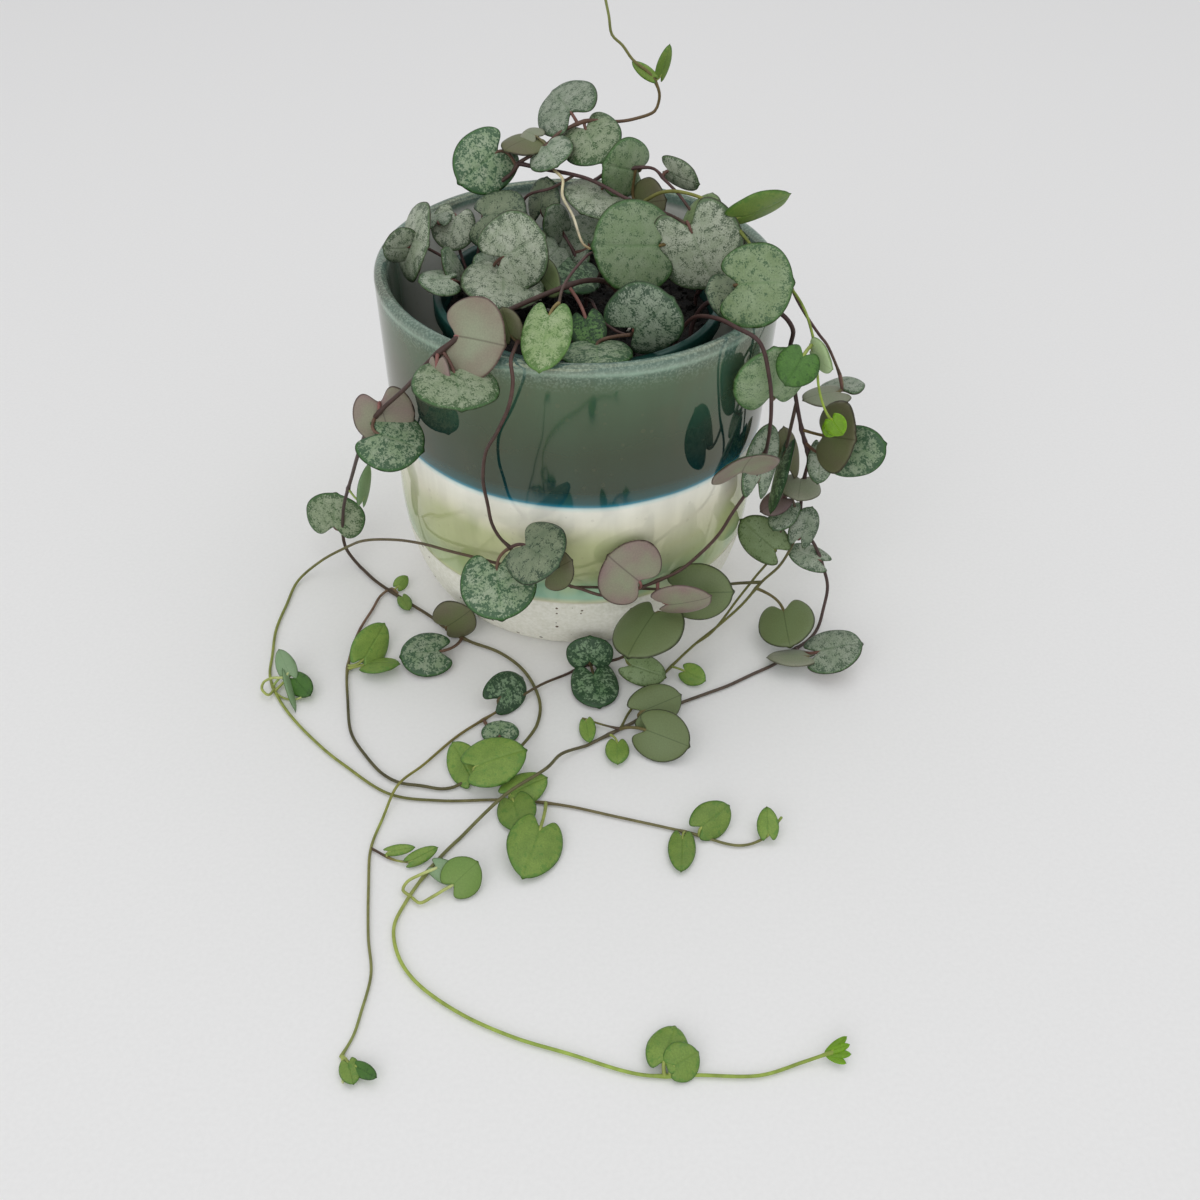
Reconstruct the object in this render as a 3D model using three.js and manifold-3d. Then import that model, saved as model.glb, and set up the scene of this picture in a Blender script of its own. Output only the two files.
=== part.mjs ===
// Potted string of hearts: a glazed stoneware pot, the plastic nursery pot inside it, soil,
// and a trailing vine with heart-shaped leaves. Millimetres, +Z up, origin at the middle of
// the pot's foot on the surface that it stands on. The front of the plant looks along -Y.

import * as THREE from 'three';
import Module from 'manifold-3d';
import { mergeVertices } from 'three/addons/utils/BufferGeometryUtils.js';

const wasm = await Module();
wasm.setup();

// Stoneware pot
const potRimRadius = 58;
const potHeight = 107;
const potWall = 3.7;
const potWallFootRadius = 56.3;
const potCornerWidth = 12.4;
const potCornerHeight = 38.7;
const potFloor = 8;
const potSides = 32;

// Nursery pot
const nurseryRimRadius = 42;
const nurseryTop = 98;
const nurseryWall = 1.2;
const nurseryRimHeight = 5;
const nurseryFootRadius = 31.5;
const nurserySides = 24;
const restGap = 0.3;
const drainRadius = 3;
const drainRing = 20;
const drainCount = 5;

// Soil
const soilTop = 90;
const soilHeap = 1.5;
const stemHoleRadius = 1.5;
const stemHoleFloor = 81;
const stemFoot = 82;

// Leaves and stems
const bladeThickness = 1.2;
const smallBladeThickness = 0.8;
const smallBladeWidth = 9;
const bladeHalfPoints = 5;
const mediumBladeHalfPoints = 4;
const mediumBladeWidth = 14;
const smallBladeHalfPoints = 3;
const bladeHub = 0.35;
const bladeDome = 0.1;
const petioleRadius = 0.45;
const smallPetioleRadius = 0.34;
const petioleSides = 3;
const petioleStep = 5;
const petioleInset = 0.1;
const petioleLift = 0.08;
const petioleBow = 0.45;
const stemSides = 4;
const stemStep = 16;
const surfaceGap = 0.1;

const group = new THREE.Group();

function addMesh(name, geometry, color, roughness, metalness = 0) {
  geometry.computeVertexNormals();
  const material = new THREE.MeshStandardMaterial({ color, roughness, metalness });
  const mesh = new THREE.Mesh(geometry, material);
  mesh.name = name;
  group.add(mesh);
}

function solidOf(vertProperties, triVerts) {
  const mesh = new wasm.Mesh({
    numProp: 3,
    vertProperties: new Float32Array(vertProperties),
    triVerts: new Uint32Array(triVerts),
  });
  return new wasm.Manifold(mesh);
}

function solidOfGeometry(geometry) {
  geometry.deleteAttribute('normal');
  geometry.deleteAttribute('uv');
  const merged = mergeVertices(geometry, 1e-4);
  return solidOf(merged.attributes.position.array, merged.index.array);
}

function geometryOf(solid) {
  const mesh = solid.getMesh();
  const geometry = new THREE.BufferGeometry();
  geometry.setAttribute('position', new THREE.BufferAttribute(mesh.vertProperties, 3));
  geometry.setIndex(new THREE.BufferAttribute(mesh.triVerts, 1));
  return geometry;
}

// A solid of revolution about the vertical axis. The profile starts and ends on the axis.
function turned(profile, sides) {
  const points = profile.map(([radius, height]) => new THREE.Vector2(radius, height));
  const geometry = new THREE.LatheGeometry(points, sides);
  geometry.rotateX(Math.PI / 2);
  return solidOfGeometry(geometry);
}

function uprightRod(radius, bottom, top, x, y) {
  const geometry = new THREE.CylinderGeometry(radius, radius, top - bottom, 8);
  geometry.rotateX(Math.PI / 2);
  geometry.translate(x, y, (top + bottom) / 2);
  return solidOfGeometry(geometry);
}

function vector(point) {
  return new THREE.Vector3(...point);
}

// A direction square to the tangent and as near as possible to the direction before it
function squareTo(tangent, before) {
  return before.clone().addScaledVector(tangent, -before.dot(tangent)).normalize();
}

// A closed tapering tube through a list of centres, with a pointed dome on each end
function tube(centres, startRadius, endRadius, sides) {
  const last = centres.length - 1;
  const vertices = [];
  const triangles = [];
  const tangents = centres.map((centre, ring) => {
    const before = centres[Math.max(ring - 1, 0)];
    const after = centres[Math.min(ring + 1, last)];
    return after.clone().sub(before).normalize();
  });
  const sideways = Math.abs(tangents[0].x) < 0.7 ? [1, 0, 0] : [0, 1, 0];
  let normal = vector(sideways);
  for (let ring = 0; ring <= last; ring += 1) {
    normal = squareTo(tangents[ring], normal);
    const binormal = new THREE.Vector3().crossVectors(tangents[ring], normal);
    const radius = startRadius + (endRadius - startRadius) * ring / last;
    for (let side = 0; side < sides; side += 1) {
      const angle = 2 * Math.PI * side / sides;
      const corner = centres[ring].clone();
      corner.addScaledVector(normal, radius * Math.cos(angle));
      corner.addScaledVector(binormal, radius * Math.sin(angle));
      vertices.push(corner.x, corner.y, corner.z);
    }
  }
  const foot = centres[0].clone().addScaledVector(tangents[0], -startRadius / 2);
  const head = centres[last].clone().addScaledVector(tangents[last], endRadius / 2);
  vertices.push(foot.x, foot.y, foot.z, head.x, head.y, head.z);
  const footTip = sides * (last + 1);
  const headTip = footTip + 1;
  for (let side = 0; side < sides; side += 1) {
    const next = (side + 1) % sides;
    for (let ring = 0; ring < last; ring += 1) {
      const here = ring * sides;
      const there = here + sides;
      triangles.push(here + side, here + next, there + next);
      triangles.push(here + side, there + next, there + side);
    }
    triangles.push(footTip, next, side);
    triangles.push(headTip, last * sides + side, last * sides + next);
  }
  return solidOf(vertices, triangles);
}

// The centres of a stem: the points of its route, with more between those that lie far apart
function stemCentres([points, startRadius]) {
  const curve = new THREE.CatmullRomCurve3(points.map(vector), false, 'centripetal');
  const spans = points.length - 1;
  const centres = [];
  for (let span = 0; span < spans; span += 1) {
    const reach = curve.points[span].distanceTo(curve.points[span + 1]);
    const cuts = Math.ceil(reach / stemStep);
    for (let cut = 0; cut < cuts; cut += 1) {
      centres.push(curve.getPoint((span + cut / cuts) / spans));
    }
  }
  centres.push(curve.getPoint(1));
  for (const centre of centres) {
    centre.z = Math.max(centre.z, startRadius + surfaceGap);
  }
  return centres;
}

// The axes of a leaf: along its midrib from notch to tip, across it, and out of its upper face
function leafAxes(notch, tip, face) {
  const along = vector(tip).sub(vector(notch));
  const length = along.length();
  along.normalize();
  const out = vector(face);
  out.addScaledVector(along, -out.dot(along)).normalize();
  const across = new THREE.Vector3().crossVectors(out, along);
  return { along, across, out, length };
}

// Half of a heart's outline from the tip to the notch, as shares of its length and half width
function heartPoint(turn) {
  const across = Math.sin(turn);
  const notchDip = turn > Math.PI / 2 ? 0.3 * Math.exp(-((across / 0.3) ** 2)) : 0;
  return [0.35 + 0.65 * Math.cos(turn) + notchDip, across];
}

function heartOutline(width) {
  let halfPoints = bladeHalfPoints;
  if (width < mediumBladeWidth) {
    halfPoints = width < smallBladeWidth ? smallBladeHalfPoints : mediumBladeHalfPoints;
  }
  const outline = [];
  const half = halfPoints + 1;
  for (let step = 0; step < 2 * half; step += 1) {
    const turn = Math.PI * step / half;
    const mirrored = step > half;
    const [along, across] = heartPoint(mirrored ? 2 * Math.PI - turn : turn);
    outline.push([along, mirrored ? -across : across]);
  }
  return outline;
}

// How far the domed blade lies below its flat plane at a place on it
function bladeDrop(u, v, width) {
  return bladeDome * width * (v * v + (u - bladeHub) ** 2);
}

// The corners of a thin, slightly domed blade: its upper face, then its lower face
function bladeCorners([notch, tip, width, face]) {
  const { along, across, out, length } = leafAxes(notch, tip, face);
  const thickness = width < smallBladeWidth ? smallBladeThickness : bladeThickness;
  const corners = [];
  for (const lift of [thickness / 2, -thickness / 2]) {
    for (const [u, v] of [[bladeHub, 0], ...heartOutline(width)]) {
      const corner = vector(notch);
      corner.addScaledVector(along, u * length);
      corner.addScaledVector(across, v * width / 2);
      corner.addScaledVector(out, lift - bladeDrop(u, v, width));
      corners.push(corner);
    }
  }
  return corners;
}

// A leaf that would dip into the surface is lifted until it lies on it
function settled([notch, tip, width, face]) {
  const heights = bladeCorners([notch, tip, width, face]).map((corner) => corner.z);
  const lift = Math.max(0, surfaceGap - Math.min(...heights));
  const raised = [notch, tip].map(([x, y, z]) => [x, y, z + lift]);
  return [raised[0], raised[1], width, face];
}

// A blade cut into triangles alike on both faces
function blade(leaf) {
  const corners = bladeCorners(leaf);
  const vertices = corners.flatMap((corner) => corner.toArray());
  const triangles = [];
  const count = corners.length / 2;
  for (let corner = 1; corner < count; corner += 1) {
    const next = corner % (count - 1) + 1;
    triangles.push(0, corner, next);
    triangles.push(count, count + next, count + corner);
    triangles.push(count + corner, count + next, next);
    triangles.push(count + corner, next, corner);
  }
  return solidOf(vertices, triangles);
}

// The place on the stems that lies nearest to a point
function nearestOn(stems, point) {
  const place = new THREE.Vector3();
  let nearest = null;
  for (const centres of stems) {
    for (let ring = 1; ring < centres.length; ring += 1) {
      const piece = new THREE.Line3(centres[ring - 1], centres[ring]);
      piece.closestPointToPoint(point, true, place);
      if (!nearest || place.distanceTo(point) < nearest.distanceTo(point)) {
        nearest = place.clone();
      }
    }
  }
  return nearest;
}

// The leaf stalk, from the nearest place on the stems to just inside the blade
function petiole([notch, tip, width, face], stems) {
  const { along, out, length } = leafAxes(notch, tip, face);
  const foot = vector(notch).addScaledVector(out, -bladeDrop(0, 0, width));
  const start = nearestOn(stems, foot);
  const reach = start.distanceTo(foot);
  const end = foot.clone().addScaledVector(along, petioleInset * length);
  end.addScaledVector(out, petioleLift);
  const bend = foot.clone().addScaledVector(along, -petioleBow * reach);
  const radius = width < smallBladeWidth ? smallPetioleRadius : petioleRadius;
  bend.z = Math.max(bend.z, radius + surfaceGap);
  const curve = new THREE.QuadraticBezierCurve3(start, bend, end);
  const steps = Math.ceil(reach / petioleStep);
  return tube(curve.getPoints(steps), radius, radius, petioleSides);
}

// One leafy stem: its stems and leaves grown together in a single solid
function leafyStem(name, stems, leaves, color) {
  const centres = stems.map(stemCentres);
  const pieces = stems.map(([, startRadius, endRadius], index) => (
    tube(centres[index], startRadius, endRadius, stemSides)
  ));
  for (const leaf of leaves.map(settled)) {
    pieces.push(blade(leaf), petiole(leaf, centres));
  }
  const solid = pieces.reduce((whole, piece) => whole.add(piece));
  addMesh(name, geometryOf(solid), color, 0.6);
}

// Where each stem stands in the soil
const leftRoot = [-31, 8];
const backRoot = [-20, 24];
const centreRoot = [2, 4];
const hangingLeftRoot = [14, -8];
const frontRoot = [-10, -26];
const ringRoot = [27, -22];
const rightRoot = [32.5, -11.5];
const purpleRoot = [35, 7];
const roots = [
  leftRoot, backRoot, centreRoot, hangingLeftRoot, frontRoot, ringRoot, rightRoot, purpleRoot,
];

function risingFrom([x, y], top = 93) {
  return [[x, y, stemFoot], [x, y, 88], [x, y, top]];
}

function buildPot() {
  const corner = [];
  for (let step = 0; step <= 5; step += 1) {
    const turn = Math.PI / 2 * step / 5;
    const radius = potWallFootRadius - potCornerWidth * (1 - Math.sin(turn));
    corner.push([radius, potCornerHeight * (1 - Math.cos(turn))]);
  }
  const lipRadius = potWall / 2;
  const lipCentre = potRimRadius - lipRadius;
  const lip = [];
  for (let step = 0; step <= 4; step += 1) {
    const turn = Math.PI * step / 4;
    const height = potHeight - lipRadius + lipRadius * Math.sin(turn);
    lip.push([lipCentre + lipRadius * Math.cos(turn), height]);
  }
  const innerCorner = [];
  for (let step = 3; step >= 0; step -= 1) {
    const turn = Math.PI / 2 * step / 3;
    const radius = potWallFootRadius - potWall - potCornerWidth * (1 - Math.sin(turn));
    innerCorner.push([radius, potFloor + potCornerHeight * (1 - Math.cos(turn))]);
  }
  const profile = [[0, 0], ...corner, ...lip, ...innerCorner, [0, potFloor]];
  addMesh('pot', geometryOf(turned(profile, potSides)), 0x6f9488, 0.25);
}

function buildNurseryPot() {
  const bottom = potFloor + restGap;
  const rimFoot = nurseryTop - nurseryRimHeight;
  const upperRadius = nurseryRimRadius - nurseryWall;
  const profile = [
    [0, bottom],
    [nurseryFootRadius, bottom],
    [upperRadius, rimFoot],
    [nurseryRimRadius, rimFoot],
    [nurseryRimRadius, nurseryTop],
    [upperRadius - nurseryWall, nurseryTop],
    [upperRadius - nurseryWall, rimFoot - nurseryWall],
    [nurseryFootRadius - nurseryWall, bottom + nurseryWall],
    [0, bottom + nurseryWall],
  ];
  let pot = turned(profile, nurserySides);
  for (let hole = 0; hole < drainCount; hole += 1) {
    const angle = 2 * Math.PI * hole / drainCount;
    const x = drainRing * Math.cos(angle);
    const y = drainRing * Math.sin(angle);
    pot = pot.subtract(uprightRod(drainRadius, bottom - 1, bottom + nurseryWall + 1, x, y));
  }
  addMesh('nursery_pot', geometryOf(pot), 0x1f3a38, 0.45);
}

function buildSoil() {
  const bottom = potFloor + restGap + nurseryWall + restGap;
  const rimFoot = nurseryTop - nurseryRimHeight - nurseryWall;
  const footRadius = nurseryFootRadius - nurseryWall - 2 * restGap;
  const wallSlope = (nurseryRimRadius - nurseryWall - nurseryFootRadius) / (rimFoot - bottom);
  const topRadius = footRadius + wallSlope * (soilTop - bottom);
  const profile = [
    [0, bottom],
    [footRadius, bottom],
    [topRadius, soilTop],
    [topRadius * 0.85, soilTop + soilHeap * 0.6],
    [topRadius * 0.4, soilTop + soilHeap],
    [0, soilTop + soilHeap],
  ];
  let soil = turned(profile, nurserySides);
  for (const [x, y] of roots) {
    soil = soil.subtract(uprightRod(stemHoleRadius, stemHoleFloor, soilTop + 5, x, y));
  }
  addMesh('soil', geometryOf(soil), 0x1d1713, 0.95);
}

// The long vine that leaves over the left of the rim and winds along the surface
function buildVineLeft() {
  const main = [
    ...risingFrom(hangingLeftRoot), [12, -11, 101], [8, -13, 107], [2, -16, 109], [-4, -20, 109],
    [-12, -27, 109], [-20, -39, 111], [-27, -48, 111], [-31, -53, 111], [-37, -54, 106],
    [-45, -46, 93], [-56, -39, 78], [-70, -16, 40], [-76, -8, 20], [-77, -7, 5],
    [-72, -12, 1], [-66, -19, 0.7], [-57, -27, 0.7], [-46, -36, 0.7], [-41, -41, 0.7],
    [-33, -47, 0.7], [-23, -52, 0.7], [-15, -60, 0.7], [-10, -72, 0.7], [-10, -80, 0.7],
    [-14, -91, 3], [-20, -100, 5], [-28, -103, 2], [-35, -106, 0.7], [-42, -105, 0.7],
    [-48, -104, 0.7], [-53, -101, 0.7], [-59, -94, 0.7], [-64, -86, 0.7], [-67, -73, 0.7],
    [-69, -60, 0.7], [-68, -44, 0.7], [-65, -33, 0.7], [-63, -26, 0.7],
    [-60, -23, 0.9], [-58, -25, 1],
  ];
  const leaves = [
    [[-31, -52, 112], [-18.5, -56, 112], 22, [-1.4, -3, 2.8]],
    [[2, -26, 103], [4, -34, 98], 10, [-0.6, -2, 3]],
    [[-30.8, -58.5, 106], [-27.8, -72, 104], 22, [0.6, -0.5, 4]],
    [[-35, -58, 107], [-34.5, -62, 99.5], 9, [-2, -1.6, 1]],
    [[-54, -38, 83], [-51, -42, 72], 17, [0.6, -4, 1.4]],
    [[-55, -44, 77], [-42, -46.5, 73.5], 20, [0.8, -1.6, 4]],
    [[-67, -16, 32], [-65, -9, 41], 8, [4, -1.4, 0.4]],
    [[-80, -7, 13.5], [-78.5, -4, 25], 20, [-0.4, -4, 1.5]],
    [[-40, -45, 3], [-32, -45, 10], 14, [0, -4, 1]],
    [[-41, -55, 3], [-53, -57, 3], 16, [0, -1, 4]],
    [[-28, -103, 2], [-34, -92, 4], 10, [-1, -1, 4]],
    [[-27, -103, 7], [-13, -98, 9], 15, [0, -1, 4]],
    [[-64, -59, 3], [-59, -45, 5], 11, [2, -1, 3]],
    [[-63, -60, 3], [-53, -60, 4], 9, [0, 1, 4]],
    [[-58, -23, 2], [-55, -20, 4], 4.5, [1, -3, 3]],
  ];
  leafyStem('vine_left', [[main, 0.95, 0.6]], leaves, 0x7d9076);
}

// The short vine that hangs over the front of the rim
function buildVineFront() {
  const main = [
    ...risingFrom(frontRoot), [-12, -34, 102], [-15, -46, 107.5], [-16, -53, 108.7],
    [-16.6, -58, 108.4], [-16, -61, 105], [-16.9, -62.3, 99], [-20.5, -60.5, 89], [-24, -57, 80],
    [-25, -57, 71], [-24, -58, 64], [-23, -59, 58], [-21, -60, 54], [-18, -61, 51],
  ];
  const leaves = [
    [[-22, -62, 45], [-20, -75, 37], 21.5, [0, -2, 4]],
    [[-14, -63, 54], [-5, -75, 57], 19, [-2, -1, 3]],
    [[-8, -64, 44], [-1, -65, 50], 12, [-2, -3, 2]],
    [[-16.9, -46.7, 108.8], [-19.4, -44, 115.6], 7.6, [-1.6, -4, 1.6]],
  ];
  leafyStem('vine_front', [[main, 0.75, 0.7]], leaves, 0x7d9076);
}

// The vine that hangs over the right of the rim, swings round the front of the pot like a
// hoop and lies along the surface on both sides
function buildVineRing() {
  const main = [
    ...risingFrom(ringRoot), [30.8, -27.5, 104.5], [36.5, -35.5, 109], [41, -41, 109.5], [46.5, -45, 108],
    [50.3, -45.8, 98], [52.3, -44.5, 87], [53.3, -41, 73], [53, -37, 64], [51, -37, 56],
    [46, -41, 49], [42, -46, 45], [36, -52, 42], [30, -56, 39], [24, -58, 37],
    [19, -60, 36], [14, -62, 35.5], [8, -63, 35.5], [2, -61, 36], [-3, -60, 37],
    [-8, -58.5, 38.5], [-16, -56.5, 39.5], [-23, -53.5, 39], [-28, -51, 38.5],
    [-37, -45, 36], [-46, -37, 32], [-56, -28, 26], [-68, -19, 18], [-75, -14, 11],
    [-84, -14, 5], [-91, -20, 1.5], [-93, -32, 0.7], [-94, -43, 0.7], [-93, -54, 0.7],
    [-92, -63, 0.7], [-89, -70, 0.7], [-83, -79, 0.7], [-72, -91, 0.7], [-64, -98, 0.7],
    [-50, -108, 0.7], [-36, -110, 0.7], [-18, -109.5, 0.7], [-3, -111, 0.7], [13, -115, 0.7],
    [32, -120, 0.7], [45, -124, 0.7], [52, -122, 1.5], [57, -117, 4],
  ];
  const leaves = [
    [[46, -45, 67], [47, -52, 78], 20, [-1, 3, 1]],
    [[53, -37, 57], [56, -29, 72], 13, [2, -3, 1]],
    [[18.5, -62.5, 40.5], [9.5, -60, 47.5], 21, [-1, -3.6, 3]],
    [[26.5, -62.5, 32], [38.5, -66, 38], 13, [-1, -4, -1]],
    [[-17, -109, 1.5], [-7, -103, 2], 10, [0, -1, 4]],
    [[-16, -111, 1.5], [-13, -121, 1.5], 11, [-1, 0, 4]],
    [[-8, -121, 3], [-12, -136, 2], 15, [1, 0, 4]],
    [[35, -120, 3], [43, -114, 5], 10, [0, -2, 3]],
    [[30, -122, 2], [29, -133, 2], 7.5, [0, 0, 4]],
    [[53, -122, 3], [53, -115, 6], 6, [-1, -2, 4]],
    [[-85, -66, 4], [-89, -59, 8], 6, [0, -2, 4]],
    [[-84, -66, 3], [-78, -73, 3], 7, [-1, -1, 4]],
  ];
  leafyStem('vine_ring', [[main, 0.75, 0.55]], leaves, 0x7d9076);
}

// The leafiest vine: it hangs over the right of the rim and branches towards the surface
function buildVineRight() {
  const long = [
    ...risingFrom(rightRoot), [35.5, -14, 101.5], [44.5, -23, 108.2], [50, -30, 109.4], [54, -32, 108.6],
    [57.5, -31.5, 104], [58, -29, 97], [60, -27, 88], [63, -25, 77], [66, -24, 67],
    [70, -22, 55], [70, -21, 49], [70, -21, 41], [71, -22, 32], [73, -24, 28],
    [76, -25, 24], [79, -28, 18], [81, -31, 12], [80, -35, 6], [78, -40, 2], [74, -45, 0.7],
    [68, -50, 0.7], [63, -55, 0.7], [55, -60, 0.7], [47, -65, 0.7], [41, -68, 0.7],
    [31, -73, 0.7], [24, -77, 0.7], [20, -79, 0.7], [14, -83, 0.7], [5, -89, 0.8],
    [-3, -95, 3.5], [-7, -102, 5.6], [-18, -111, 5], [-30, -123, 0.8], [-37, -133, 0.7],
    [-42, -143, 0.7], [-44, -150, 0.7], [-42, -158, 0.7], [-37, -165, 0.7],
    [-26, -173, 0.7], [-13, -179, 0.7], [0, -183, 0.7], [17, -188, 0.7], [30, -188, 0.7],
    [44, -188, 0.7], [54, -185, 1.2], [62, -183, 3],
  ];
  const olive = [
    [63, -25, 77], [63, -22, 64], [63, -21, 54], [65, -21, 45], [68, -24, 38], [70, -24, 32],
    [69, -26, 27], [65, -30, 20], [59, -34, 16], [53, -39, 11], [46, -44, 7], [38, -50, 4],
    [31, -57, 2], [23, -67, 0.8], [17, -76, 1], [14, -84, 2],
  ];
  const oliveTwin = [
    [65, -21, 45], [63, -28, 24], [57, -32, 16], [52, -37, 12], [43, -47, 6], [38, -50, 4],
  ];
  const backBranch = [
    [59, -34, 16], [51, -37, 18], [43, -43, 22], [31, -52, 28], [25, -55, 31],
    [18, -57, 33], [6, -59, 35], [-1, -58.5, 34.5],
  ];
  const lowBranch = [
    [31, -52, 28], [27, -56, 23], [23, -57, 17], [19, -58, 10], [14, -56, 3], [3, -58, 1.5],
    [-2, -61, 1], [-10, -68, 3.2], [-22, -77, 1.5], [-33, -86, 0.7], [-42, -98, 1.5],
    [-48, -107, 3.4], [-51, -116, 1], [-53, -126, 0.7], [-52, -138, 0.7], [-50, -153, 0.7],
    [-48, -163, 0.7], [-49, -173, 0.7], [-50, -179, 0.7], [-52, -184, 0.7],
  ];
  const sideShoot = [[-53, -126, 0.7], [-46, -130, 1], [-40, -131, 1.5]];
  const budShoot = [[14, -84, 2], [9, -82, 1.5], [3, -80, 2]];
  const leaves = [
    [[52.5, -41.5, 89], [51.5, -42.5, 104], 21.5, [1.2, -4, 0.6]],
    [[71, -29, 68.5], [77, -40.5, 75], 21, [-4, -1.3, 1.2]],
    [[76, -33, 64], [87, -38, 72], 15, [-2, -3, 1]],
    [[73, -24, 60], [72, -30, 52], 8, [-1, -3, 2]],
    [[65, -21, 50], [63, -14, 61], 10, [2, -3, 2]],
    [[62, -24, 58], [58, -34, 44], 12, [-4, 0, 1]],
    [[69, -21, 47], [67, -30, 46], 13, [0, 0, 4]],
    [[64, -24, 42], [57, -26, 38], 8, [-1, -2, 3]],
    [[66, -23, 38], [61, -30, 34], 9, [-1, -1, 4]],
    [[70, -29, 30], [73, -25, 39], 9, [0, -4, 2]],
    [[78, -28, 20], [68, -24, 22], 9, [0, -2, 4]],
    [[75, -55.5, 6.5], [88, -55.5, 11], 17, [-1.5, -0.4, 4]],
    [[72, -56, 5], [60, -55, 4], 10, [0, 1, 4]],
    [[-35, -134, 4], [-27, -138, 3], 6, [-1, -2, 4]],
    [[-30, -139, 3], [-24, -134, 6], 11, [0, -2, 3]],
    [[22, -186, 3], [25, -177, 3], 10, [0, 0, 4]],
    [[24, -187, 2], [30, -184, 3], 9, [0, -2, 4]],
    [[63, -29, 25], [52, -22.5, 31.5], 13.5, [-1, -3, 2]],
    [[66, -40, 10], [66.5, -54, 8], 18, [-1.6, -0.7, 4]],
    [[24, -58.5, 25], [15.5, -73, 21.5], 22, [-1.2, 0, 4]],
    [[31, -54, 29], [46, -58, 33], 17, [-1, -3, 2]],
    [[17, -60, 3], [28, -64, 2], 10, [0, -2, 3]],
    [[34, -61, 3], [40, -65, 3], 7, [-1, -2, 3]],
    [[5, -59, 4], [5, -56, 12], 14.5, [0, -4, 1]],
    [[6, -62, 3], [8, -75, 2], 14.5, [0, 0, 4]],
    [[-22, -75, 2.5], [-15, -67, 3.5], 12, [1, -2, 3]],
    [[-21, -87, 1.5], [-21, -81, 2], 11, [0, -1, 4]],
    [[20, -80, 3], [32, -74, 4], 13, [1, -2, 3]],
    [[21, -88, 3], [33, -94, 3], 15, [-1, -2, 3]],
    [[13, -89, 2], [13, -97, 2], 7, [0, 0, 4]],
    [[-42, -131, 2], [-35, -128, 4], 4, [0, -2, 3]],
    [[-50, -186, 2], [-48, -191, 2], 5, [0, 0, 4]],
  ];
  const stems = [
    [long, 0.85, 0.6], [olive, 0.7, 0.55], [oliveTwin, 0.6, 0.55], [backBranch, 0.65, 0.6],
    [lowBranch, 0.65, 0.5], [sideShoot, 0.45, 0.4], [budShoot, 0.5, 0.4],
  ];
  leafyStem('vine_right', stems, leaves, 0x7d9076);
}

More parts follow.
